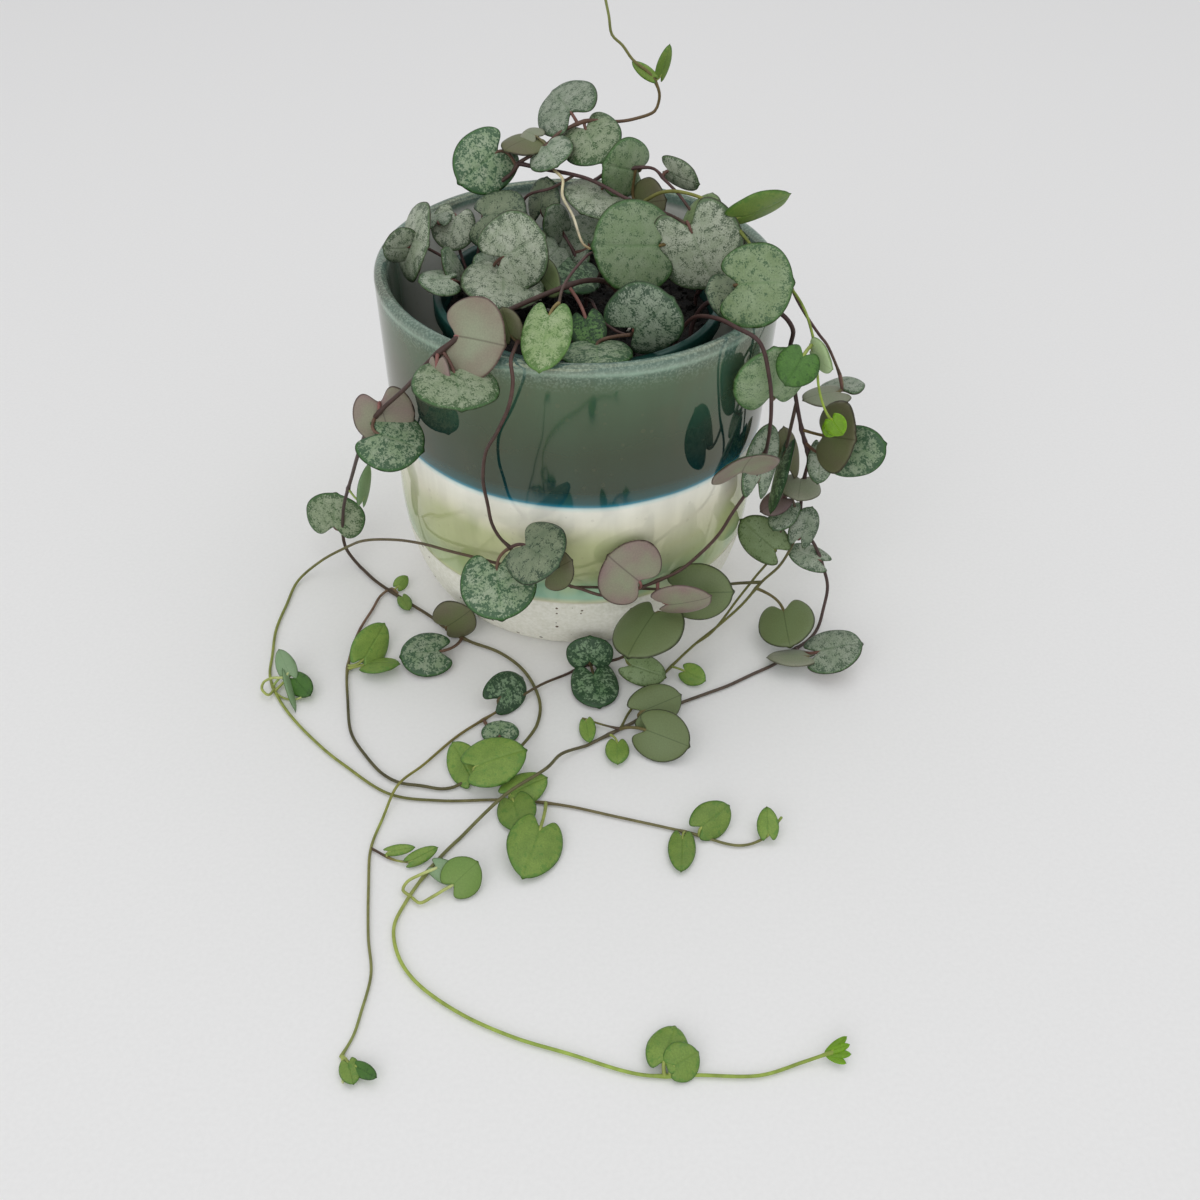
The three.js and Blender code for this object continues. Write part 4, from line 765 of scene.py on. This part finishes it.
# Tints of a stem: shares of its way from the root, each with the colour there
stem_tints = {
    "left_brown": [(0, "#4a3834"), (0.2, "#503c36"), (0.42, "#4a3a35"), (0.5, "#504233"), (0.57, "#5e553a"),
                   (0.66, "#6f6e45"), (0.72, "#69663f"), (0.8, "#5a563a"), (0.88, "#57543c"),
                   (0.905, "#7d794b"), (0.93, "#735e4b"), (0.97, "#7c6252"), (1, "#826d53")],
    "red_brown": [(0, "#54403a"), (0.3, "#5d443e"), (0.7, "#54403a"), (1, "#4c3b34")],
    "purple_brown": [(0, "#4a3836"), (0.4, "#563f3d"), (0.8, "#5e4744"), (1, "#5b4a3c")],
    "ring": [(0, "#5a3f3a"), (0.1, "#4f3a38"), (0.25, "#56413b"), (0.4, "#5f4d3e"), (0.52, "#6c6445"),
             (0.6, "#858c47"), (0.68, "#96a24e"), (0.75, "#8a9046"), (0.8, "#6e6c3e"), (0.87, "#6b6142"),
             (0.93, "#75704a"), (0.98, "#7a7a4a"), (1, "#8ba04a")],
    "lime_end": [(0, "#4a3836"), (0.2, "#4c3a38"), (0.35, "#554440"), (0.45, "#5a4e44"),
                 (0.55, "#5f5843"), (0.62, "#6c6a46"), (0.69, "#77794b"), (0.715, "#a0a95a"),
                 (0.75, "#a6b758"), (0.85, "#9db552"), (1, "#93a84c")],
    "olive": [(0, "#54443c"), (0.3, "#5c5140"), (0.6, "#74743e"), (1, "#6b6a3c")],
    "dull_olive": [(0, "#5c5a38"), (0.5, "#554a38"), (1, "#4c4034")],
    "low_brown": [(0, "#5a4a38"), (0.25, "#503e38"), (0.35, "#5c5236"), (0.45, "#786c3c"),
                  (0.58, "#8d8a46"), (0.66, "#929d4c"), (0.7, "#8d8d54"), (0.85, "#828352"), (1, "#8d9852")],
    "climbing": [(0, "#4a3836"), (0.3, "#54413b"), (0.55, "#6b5142"), (0.7, "#7a6d46"), (1, "#8f9f5c")],
    "fresh": [(0, "#6b6a3a"), (0.2, "#8a8d45"), (0.5, "#7f9045"), (0.75, "#93a84c"), (1, "#a2bb4d")],
    "curl": [(0, "#a3ad5c"), (0.6, "#b3bf6c"), (1, "#cdd596")],
    "straw": [(0, "#9a8660"), (0.3, "#d8cda4"), (0.75, "#ece4c6"), (1, "#b89e70")],
}

LEAF_MIDDLE = 0.35  # a blade's middle, as a share of its length from the notch
GROWN_LEAF = 9 * MM  # the least width of a leaf with the full thickness and stalk
FINE_STEP = 0.8 * MM  # between the rings of stalks, curls and the dry tendril
STALK_SIDES = 8


def between(before, first, last, after, share):
    """A place between first and last on the smooth line through four points."""
    spans = [max((b - a).length ** 0.5, 1e-4) for a, b in ((before, first), (first, last), (last, after))]
    leaving = ((first - before) / spans[0] - (last - before) / (spans[0] + spans[1])
               + (last - first) / spans[1]) * spans[1]
    arriving = ((last - first) / spans[1] - (after - first) / (spans[1] + spans[2])
                + (after - last) / spans[2]) * spans[1]
    return (first + leaving * share + (3 * (last - first) - 2 * leaving - arriving) * share ** 2
            + (2 * (first - last) + leaving + arriving) * share ** 3)


def centre_line(route, radius, step=1.4 * MM):
    """Closely set centres along the smooth line through a route, none lower than the stem can lie."""
    points = [Vector(place) * MM for place in route]
    points = [2 * points[0] - points[1], *points, 2 * points[-1] - points[-2]]
    centres = []
    for before, first, last, after in zip(points, points[1:], points[2:], points[3:]):
        cuts = max(1, math.ceil((last - first).length / step))
        centres += [between(before, first, last, after, cut / cuts) for cut in range(cuts)]
    centres.append(points[-2].copy())
    for centre in centres:
        centre.z = max(centre.z, radius + 0.05 * MM)
    return centres


def stem_frames(centres, radii):
    """A matrix for each centre, which puts a flat unit ring square to the stem there."""
    upright = Vector((0, 0, 1))
    turn = Quaternion()
    frames = []
    for index, (centre, radius) in enumerate(zip(centres, radii)):
        way = (centres[min(index + 1, len(centres) - 1)] - centres[max(index - 1, 0)]).normalized()
        turn = (turn @ upright).rotation_difference(way) @ turn
        frames.append(Matrix.LocRotScale(centre, turn, Vector((radius,) * 3)))
    return frames


def ramp(tints, share):
    """The colour at a share of the way along a list of places and colours."""
    for (low, first), (high, last) in zip(tints, tints[1:]):
        if share <= high:
            rest = (share - low) / (high - low)
            return [a + (b - a) * rest for a, b in zip(srgb(first), srgb(last))]
    return srgb(tints[-1][1])


def once(parts):
    """The parts as a list, each once and in the same order each run."""
    return list(dict.fromkeys(parts))


def grow_tube(bm, centres, radii, tints, sides):
    """Extrudes a ring along the centres, and closes both ends with a rounded cap."""
    tint = bm.verts.layers.float_color["Tint"]
    reach = [0.0]
    for a, b in zip(centres, centres[1:]):
        reach.append(reach[-1] + (b - a).length)
    # Rounded ends: two narrower rings before each end
    first, last = centres[0], centres[-1]
    start_way = (centres[1] - first).normalized()
    end_way = (last - centres[-2]).normalized()
    whole = ([first - start_way * radii[0] * 0.6, first - start_way * radii[0] * 0.4] + centres
             + [last + end_way * radii[-1] * 0.5, last + end_way * radii[-1] * 0.8])
    widths = [radii[0] * 0.35, radii[0] * 0.8] + radii + [radii[-1] * 0.85, radii[-1] * 0.4]
    shares = [0, 0] + [r / reach[-1] for r in reach] + [1, 1]
    frames = stem_frames(whole, widths)
    ring = bmesh.ops.create_circle(bm, segments=sides, radius=1, matrix=frames[0])["verts"]
    made = list(ring)
    edges = once(edge for vert in ring for edge in vert.link_edges)
    bmesh.ops.contextual_create(bm, geom=edges)
    for vert in ring:
        vert[tint] = ramp(tints, shares[0])
    for before, now, share in zip(frames, frames[1:], shares[1:]):
        grown = bmesh.ops.extrude_edge_only(bm, edges=edges)["geom"]
        ring = [part for part in grown if isinstance(part, bmesh.types.BMVert)]
        edges = [part for part in grown if isinstance(part, bmesh.types.BMEdge)
                 and all(vert in ring for vert in part.verts)]
        bmesh.ops.transform(bm, matrix=now @ before.inverted(), verts=ring)
        colour = ramp(tints, share)
        for vert in ring:
            vert[tint] = colour
        made += ring
    bmesh.ops.contextual_create(bm, geom=edges)
    faces = once(face for vert in made for face in vert.link_faces)
    for face in faces:
        face.smooth = True
    bmesh.ops.recalc_face_normals(bm, faces=faces)


def grow_thin(bm, route, start, end, tints, sides):
    """A thin free end along a route, with its radii in millimetres at the start and the end."""
    line = centre_line(route, start * MM, FINE_STEP)
    radii = [(start + (end - start) * index / len(line)) * MM for index in range(len(line))]
    grow_tube(bm, line, radii, tints, sides)


def heart(turn, reach, lobe, taper):
    """A place in a heart as shares of its length and its half width: turn round it, reach to the rim."""
    around = abs(turn)
    u = 0.65 * math.cos(around)
    v = math.sin(around)
    if around > math.pi / 2:
        u += 0.3 * math.exp(-(v / 0.3) ** 2) - lobe * math.sin(2 * around - math.pi)
    else:
        # The sides run straighter to the tip, which ends in a tiny point
        v *= 1 - taper * math.cos(around) ** 1.5
        u += 0.04 * math.exp(-(around / 0.09) ** 2) * reach ** 6
    return LEAF_MIDDLE + reach * u, math.copysign(reach * v, turn)


def leaf_places(plant, leaf):
    """The leaf's notch and axes, along, across and out of its face, and its length, width, thickness
    and dome. A leaf that would dip into the table is lifted."""
    notch, tip, width, face, kind = leaf[:5]
    notch, tip, face = Vector(notch) * MM, Vector(tip) * MM, Vector(face)
    width *= MM
    along = tip - notch
    length = along.length
    along.normalize()
    out = face - along * face.dot(along)
    out.normalize()
    across = out.cross(along)
    thick = plant.leaf_thickness * (1.0 if width >= GROWN_LEAF else 0.67)
    dome = plant.leaf_dome * width
    low = 1.0
    tries = 48
    for step in range(tries):
        u, v = heart(math.tau * step / tries - math.pi, 1.0, *leaf_kinds[kind][3:])
        rim = notch + along * u * length + across * v * width / 2 - out * (
            dome * (v * v + (u - LEAF_MIDDLE) ** 2) + 0.03 * width)
        low = min(low, rim.z)
    notch = notch + Vector((0, 0, max(0.0, 0.3 * MM - low)))
    return notch, along, across, out, length, width, thick, dome


def grow_leaf(bm, plant, leaf, seed, slots):
    """A fleshy heart: a grid bent into a heart, its double for the underside, and the two rims welded."""
    notch, along, across, out, length, width, thick, dome = leaf_places(plant, leaf)
    tint = bm.verts.layers.float_color["Tint"]
    skin, blade = bm.loops.layers.uv["Skin"], bm.loops.layers.uv["Blade"]
    cuts = 24 if width > 13 * MM else 18 if width > 8 * MM else 12
    chance = random.Random(seed)
    own = chance.random()
    # Where on the endless pattern this leaf lies, and how its blade waves and folds
    offset = Vector([chance.uniform(-400, 400) for _ in range(2)])
    wave = Vector([chance.uniform(-9, 9) for _ in range(3)])
    fold = chance.uniform(0.0, 0.05)
    lobe, taper = leaf_kinds[leaf[4]][3:]
    upper = bmesh.ops.create_grid(bm, x_segments=cuts, y_segments=cuts, size=1)["verts"]
    faces = once(face for vert in upper for face in vert.link_faces)
    doubled = bmesh.ops.duplicate(bm, geom=faces)["geom"]
    below = [part for part in doubled if isinstance(part, bmesh.types.BMVert)]
    lower_faces = [part for part in doubled if isinstance(part, bmesh.types.BMFace)]
    flat = {}
    rim = []
    for verts, side in ((upper, 1), (below, -1)):
        for vert in verts:
            x, y = vert.co.x, vert.co.y
            disc = Vector((x * math.sqrt(1 - y * y / 2), y * math.sqrt(1 - x * x / 2)))
            reach = min(disc.length, 1.0)
            turn = math.atan2(disc.y, disc.x) if reach > 1e-6 else 0.0
            u, v = heart(turn, reach, lobe, taper)
            drop = dome * (v * v + (u - LEAF_MIDDLE) ** 2) - fold * width * (abs(v) - 0.35) * reach
            ripple = 0.028 * width * reach ** 2 * noise.noise(Vector((u * 1.7, v * 1.4, 0)) + wave)
            half = side * thick / 2 * math.sqrt(max(0.0, 1 - reach ** 8))
            vert.co = (notch + along * u * length + across * v * width / 2
                       + out * (half - drop + ripple))
            vert[tint] = (reach, own, 0.0, 1.0)
            flat[vert] = (u, v)
            if reach > 0.9999:
                rim.append(vert)
    bmesh.ops.reverse_faces(bm, faces=lower_faces)
    for group, slot in zip((faces, lower_faces), slots):
        for face in group:
            face.material_index = slot
            face.smooth = True
            for loop in face.loops:
                u, v = flat[loop.vert]
                loop[blade].uv = (v, u)
                loop[skin].uv = (v * width / 2 / MM + offset.x, u * length / MM + offset.y)
    bmesh.ops.remove_doubles(bm, verts=rim, dist=1e-7)


def nearest_place(lines, point):
    """The centre on any of the lines that lies nearest to a point."""
    return min((centre for line in lines for centre in line), key=lambda centre: (centre - point).length)


def grow_stalk(bm, plant, leaf, lines, tint):
    """The leaf stalk, bent from the nearest place on the stems into the leaf's notch.

    A curled one follows a route of its own."""
    if len(leaf) > 5:
        centres = centre_line(leaf[5], 0.4 * MM, FINE_STEP)
        grow_tube(bm, centres, [0.42 * MM] * len(centres), stem_tints["curl"], STALK_SIDES)
        return
    notch, along, _, out, length, width, _, dome = leaf_places(plant, leaf)
    foot = notch - out * dome * LEAF_MIDDLE ** 2
    start = nearest_place(lines, foot)
    reach = (start - foot).length
    end = foot + along * 0.1 * length + out * 0.05 * MM
    bend = foot - along * 0.45 * reach
    radius = (0.46 if width >= GROWN_LEAF else 0.34) * MM
    bend.z = max(bend.z, radius + 0.1 * MM)
    steps = max(4, math.ceil(reach / FINE_STEP))
    centres, radii = [], []
    for step in range(steps + 1):
        share = step / steps
        centre = start * (1 - share) ** 2 + bend * 2 * share * (1 - share) + end * share ** 2
        centre.z = max(centre.z, radius)
        centres.append(centre)
        # Thicker at the stem, and again where it enters the blade
        radii.append(radius * (1 + 0.25 * math.exp(-6 * step / steps) + 0.1 * (step / steps) ** 4))
    grow_tube(bm, centres, radii, tint, STALK_SIDES)


def new_object(name, bm, materials=()):
    """Turns a finished bmesh into an object at the origin."""
    mesh = bpy.data.meshes.new(name)
    bm.to_mesh(mesh)
    bm.free()
    for material in materials:
        mesh.materials.append(material)
    made = bpy.data.objects.new(name, mesh)
    bpy.context.scene.collection.objects.link(made)
    return made


def new_piece(name, bm, materials):
    """An object that rides with the root."""
    piece = new_object(name, bm, materials)
    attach(piece, "root")
    return piece


def leafy_bmesh():
    """An empty bmesh with the layers that stems and leaves carry."""
    bm = bmesh.new()
    bm.verts.layers.float_color.new("Tint")
    bm.loops.layers.uv.new("Skin")
    bm.loops.layers.uv.new("Blade")
    return bm


def grow_vine(plant, name, vine, skins, bark):
    """One leafy stem with everything that grows on it."""
    bm = leafy_bmesh()
    materials = [bark]
    lines = [centre_line(route, start * MM) for route, start, _, _ in vine["stems"]]
    feet = []
    for leaf in vine["leaves"]:
        notch, _, _, out, _, _, _, dome = leaf_places(plant, leaf)
        feet.append(nearest_place(lines, notch - out * dome * LEAF_MIDDLE ** 2))
    for route, start, end in vine.get("curls", []):
        grow_thin(bm, route, start, end, stem_tints["curl"], STALK_SIDES)
    for line, (_, start, end, tint) in zip(lines, vine["stems"]):
        radii = []
        for index, centre in enumerate(line):
            share = index / (len(line) - 1)
            near = min(((centre - foot).length for foot in feet), default=1.0)
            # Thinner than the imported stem, most so past the first third, with a knot at each stalk
            slim = 0.82 - 0.13 * min(1.0, 3 * share)
            knot = 1 + 0.4 * math.exp(-(near / (1.5 * MM)) ** 2)
            radii.append((start + (end - start) * share) * MM * slim * knot)
        grow_tube(bm, line, radii, stem_tints[tint], plant.stem_sides)
    first_seed = sum(ord(letter) for letter in name) * 100
    for leaf in vine["leaves"]:
        stalk = leaf_kinds[leaf[4]][2]
        grow_stalk(bm, plant, leaf, lines, [(0, stalk), (1, stalk)])
    for index, leaf in enumerate(vine["leaves"]):
        slots = []
        for side in leaf_kinds[leaf[4]][:2]:
            if skins[side] not in materials:
                materials.append(skins[side])
            slots.append(materials.index(skins[side]))
        grow_leaf(bm, plant, leaf, first_seed + index, slots)
    piece = new_piece(name + "_grown", bm, materials)
    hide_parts(name)


def turned(profile, steps):
    """Spins a profile of (radius, height) once round the upright axis into a closed skin."""
    bm = bmesh.new()
    verts = [bm.verts.new((radius, 0, height)) for radius, height in profile]
    edges = [bm.edges.new(pair) for pair in zip(verts, verts[1:])]
    bmesh.ops.spin(bm, geom=verts + edges, cent=(0, 0, 0), axis=(0, 0, 1), angle=math.tau,
                   steps=steps, use_merge=True)
    bmesh.ops.remove_doubles(bm, verts=bm.verts[:], dist=1e-6)
    bmesh.ops.recalc_face_normals(bm, faces=bm.faces[:])
    for face in bm.faces:
        face.smooth = True
    return bm


def pot_profile(pot):
    """From the middle of the foot up the outside, over the lip and down the inside."""
    rim, wall = pot.rim_radius, pot.wall
    foot = rim - 1.7 * MM
    corner_width, corner_height, floor = 12.4 * MM, 38.7 * MM, 8 * MM
    middle = 20 * MM
    lip = pot.height - wall / 2

    def side(radius, base):
        """The rounded corner from the base, then the flared wall to just under the lip."""
        turns = [math.pi / 2 * step / 24 for step in range(25)]
        places = [(radius - corner_width * (1 - math.sin(turn)),
                   base + corner_height * (1 - math.cos(turn))) for turn in turns]
        for share in [step / 13 for step in range(1, 13)]:
            places.append((radius + (rim - foot) * share,
                           base + corner_height + (lip - base - corner_height) * share))
        return places

    over = [math.pi * step / 12 for step in range(13)]
    return [
        (0, 0), (middle, 0), (foot - corner_width - 1 * MM, 0), *side(foot, 0),
        *[(rim - wall / 2 + wall / 2 * math.cos(turn), lip + wall / 2 * math.sin(turn)) for turn in over],
        *reversed(side(foot - wall, floor)), (middle, floor), (0, floor)]


def settings():
    """The pot's, the plant's and the stage's settings."""
    scene = bpy.context.scene
    return scene.hearts_pot, scene.hearts_plant, scene.hearts_stage


class HEARTS_OT_stage(bpy.types.Operator):
    """Lays the pale table, sets the soft light and the camera"""
    bl_idname = "hearts.stage"
    bl_label = "Table, light and camera"

    def execute(self, context):
        scene, stage = context.scene, settings()[2]
        material, tree, shader = surface("matt_table_laminate", stage.table, 0.55)
        grain = add(tree, "TexNoise", [add(tree, "TexCoord").outputs["Object"], 900.0, 3.0])
        colour = add(tree, "ValToRGB", [grain], stops=[
            (0.3, [c * 0.97 for c in stage.table[:3]] + [1]), (0.7, stage.table)])
        plug(tree, shader, {"Base Color": colour})
        bm = bmesh.new()
        bmesh.ops.create_grid(bm, x_segments=1, y_segments=1, size=4.0)
        table = new_object("table", bm, [material])
        world = bpy.data.worlds.new("room")
        world.use_nodes = True
        plug(world.node_tree, world.node_tree.nodes["Background"], ["#fdfdff", stage.sky])
        scene.world = world
        scene.view_settings.view_transform = "Standard"
        plant_middle = Vector((0, 0, 0.06))
        for name, place, size, share in (
                ("window", (-0.5, -1.25, 0.95), 1.4, 1.0), ("ceiling", (0.3, 0.2, 1.6), 1.6, 0.8)):
            light = bpy.data.lights.new(name, "AREA")
            light.shape = "SQUARE"
            light.size = size
            light.energy = stage.window * share
            lamp = bpy.data.objects.new(name, light)
            lamp.location = place
            lamp.rotation_euler = (plant_middle - Vector(place)).to_track_quat("-Z", "Y").to_euler()
            scene.collection.objects.link(lamp)
        # The camera's place, and its way down, to the right and round, fitted to the photograph
        stand = (0, -0.318, 0.265)
        pitch, yaw, roll = (math.radians(angle) for angle in (42.2, 1.66, 1.95))
        camera_data = bpy.data.cameras.new("camera")
        camera_data.sensor_width = 36
        camera_data.lens = 36
        camera = bpy.data.objects.new("camera", camera_data)
        forward = Vector((math.sin(yaw) * math.cos(pitch), math.cos(yaw) * math.cos(pitch), -math.sin(pitch)))
        right = Vector((math.cos(yaw), -math.sin(yaw), 0))
        up = right.cross(forward)
        right, up = (right * math.cos(roll) + up * math.sin(roll),
                     up * math.cos(roll) - right * math.sin(roll))
        camera.matrix_world = Matrix.Translation(stand) @ Matrix(
            (right, up, -forward)).transposed().to_4x4()
        scene.collection.objects.link(camera)
        scene.camera = camera
        return {"FINISHED"}


class HEARTS_OT_pot(bpy.types.Operator):
    """Turns the glazed stoneware pot"""
    bl_idname = "hearts.pot"
    bl_label = "Stoneware pot"

    def execute(self, context):
        pot = settings()[0]
        piece = new_piece("glazed_pot", turned(pot_profile(pot), 160), [running_glaze(pot)])
        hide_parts("pot")
        return {"FINISHED"}


class HEARTS_OT_nursery_pot(bpy.types.Operator):
    """Turns the plastic nursery pot and cuts its drain holes"""
    bl_idname = "hearts.nursery_pot"
    bl_label = "Nursery pot"

    def execute(self, context):
        rim, top, low = nursery_high.x, nursery_high.z, nursery_low.z
        foot = 31.5 * MM
        # In millimetres in from the foot and up, then in from the rim and down from the top
        floor = [(foot - inward * MM, low + up * MM) for inward, up in (
            (1.5, 0), (0.4, 0.3), (0, 1), (1.2, 1.6), (1.7, 1.2))]
        lip = [(rim - inward * MM, top - down * MM) for inward, down in (
            (1.4, 5.6), (1.1, 5.1), (0.3, 5), (0, 4.7), (0, 0.6), (0.2, 0.15), (0.6, 0), (1.7, 0),
            (2.1, 0.15), (2.3, 0.5), (2.5, 6.4))]
        profile = [(0, low), *floor[:3], *lip, *floor[3:], (0, low + 1.2 * MM)]
        piece = new_piece("nursery_pot_turned", turned(profile, 120), [nursery_plastic(settings()[0])])
        holes = bmesh.new()
        hole_count, hole_radius, hole_ring, drill_length = 5, 3 * MM, 20 * MM, 10 * MM
        for hole in range(hole_count):
            turn = math.tau * hole / hole_count
            bmesh.ops.create_cone(
                holes, cap_ends=True, segments=32, radius1=hole_radius, radius2=hole_radius,
                depth=drill_length,
                matrix=Matrix.Translation((hole_ring * math.cos(turn), hole_ring * math.sin(turn), low)))
        drill = new_object("drill", holes)
        cut = piece.modifiers.new("drain_holes", "BOOLEAN")
        cut.operation, cut.object, cut.solver = "DIFFERENCE", drill, "EXACT"
        drilled = bpy.data.meshes.new_from_object(
            piece.evaluated_get(context.evaluated_depsgraph_get()))
        piece.modifiers.clear()
        piece.data = drilled
        drill_mesh = drill.data
        bpy.data.objects.remove(drill)
        bpy.data.meshes.remove(drill_mesh)
        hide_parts("nursery_pot")
        return {"FINISHED"}


class HEARTS_OT_soil(bpy.types.Operator):
    """Fills the nursery pot with potting mix, crumbs and perlite"""
    bl_idname = "hearts.soil"
    bl_label = "Potting soil"

    def execute(self, context):
        plant = settings()[1]
        chance = random.Random(7)
        low, top = soil_low.z, 90 * MM
        # The soil's surface is a low mound, uneven by about a millimetre
        edge, mound, rings = 38.6 * MM, 1.2 * MM, 38
        profile = [(0, low), (29.6 * MM, low), (38.8 * MM, top - 0.4 * MM)]
        profile += [(edge * (1 - ring / rings), top) for ring in range(rings)] + [(0, top)]
        bm = turned(profile, 150)
        for vert in bm.verts:
            if vert.co.z > top - 0.2 * MM:
                out = vert.co.xy.length / edge
                vert.co.z = top + mound * (1 - out * out) - 0.9 * MM
                vert.co.z += 1.1 * MM * noise.fractal(vert.co * 260, 0.6, 2.2, 4) * (1 - out ** 8)
        soil = potting_mix()
        piece = new_piece("potting_soil_bed", bm, [soil])
        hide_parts("soil")
        for name, count, sizes, material in (
                ("soil_crumbs", plant.crumbs, (0.5, 1.6), soil),
                ("perlite_bits", plant.perlite, (0.5, 1.3), expanded_perlite())):
            bits = bmesh.new()
            for _ in range(count):
                out, turn = 37.4 * MM * math.sqrt(chance.random()), chance.uniform(0, math.tau)
                size = chance.uniform(*sizes) * MM
                height = top - 0.3 * MM + mound * (1 - (out / edge) ** 2) - 0.2 * size
                turned_so = Quaternion([chance.gauss(0, 1) for _ in range(4)])
                lump = Matrix.LocRotScale(
                    (out * math.cos(turn), out * math.sin(turn), height), turned_so.normalized(),
                    Vector((size, size * chance.uniform(0.5, 0.9), size * chance.uniform(0.4, 0.8))))
                verts = bmesh.ops.create_icosphere(bits, subdivisions=1, radius=1, matrix=lump)["verts"]
                for vert in verts:
                    vert.co += Vector([chance.uniform(-0.2, 0.2) * size for _ in range(3)])
            scattered = new_piece(name, bits, [material])
        return {"FINISHED"}


class HEARTS_OT_vines(bpy.types.Operator):
    """Grows the stems with their leaves"""
    bl_idname = "hearts.vines"
    bl_label = "Stems and leaves"

    def execute(self, context):
        plant = settings()[1]
        skins, bark = leaf_skins(plant), vine_bark()
        for name, vine in vines.items():
            grow_vine(plant, name, vine, skins, bark)
        return {"FINISHED"}


class HEARTS_OT_tendril(bpy.types.Operator):
    """Lays the dry tendril over the leaves"""
    bl_idname = "hearts.tendril"
    bl_label = "Dry tendril"

    def execute(self, context):
        route = [[-7, 23, 126.5], [-8, 20, 125.5], [-5, 14, 124.5], [-5, 10, 121.5], [-2, 6, 117.5],
                 [1, 0, 112], [3, -2, 111.5]]
        bm = leafy_bmesh()
        grow_thin(bm, route, 0.45, 0.35, stem_tints["straw"], settings()[1].stem_sides)
        piece = new_piece("dry_tendril_grown", bm, [vine_bark()])
        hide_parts("dry_tendril")
        return {"FINISHED"}


class HEARTS_PT_parts(bpy.types.Panel):
    """Lists what the add-on makes"""
    bl_idname = "HEARTS_PT_parts"
    bl_label = "Potted string of hearts"
    bl_space_type = "VIEW_3D"
    bl_region_type = "UI"
    bl_category = "Hearts"

    def draw(self, context):
        for operator in operators:
            self.layout.operator(operator.bl_idname)
        for group in settings():
            box = self.layout.box()
            for name in group.__annotations__:
                box.prop(group, name)


operators = (
    HEARTS_OT_stage, HEARTS_OT_pot, HEARTS_OT_nursery_pot, HEARTS_OT_soil, HEARTS_OT_vines,
    HEARTS_OT_tendril,
)
classes = (PotSettings, PlantSettings, StageSettings, *operators, HEARTS_PT_parts)


def register():
    """Registers the classes and hangs the settings on the scene."""
    for kind in classes:
        bpy.utils.register_class(kind)
    bpy.types.Scene.hearts_pot = PointerProperty(type=PotSettings)
    bpy.types.Scene.hearts_plant = PointerProperty(type=PlantSettings)
    bpy.types.Scene.hearts_stage = PointerProperty(type=StageSettings)


def unregister():
    """Undoes what register did."""
    del bpy.types.Scene.hearts_stage
    del bpy.types.Scene.hearts_plant
    del bpy.types.Scene.hearts_pot
    for kind in reversed(classes):
        bpy.utils.unregister_class(kind)


def main():
    """Builds everything."""
    register()
    bpy.ops.hearts.stage()
    bpy.ops.hearts.pot()
    bpy.ops.hearts.nursery_pot()
    bpy.ops.hearts.soil()
    bpy.ops.hearts.vines()
    bpy.ops.hearts.tendril()


if __name__ == "__main__":
    main()
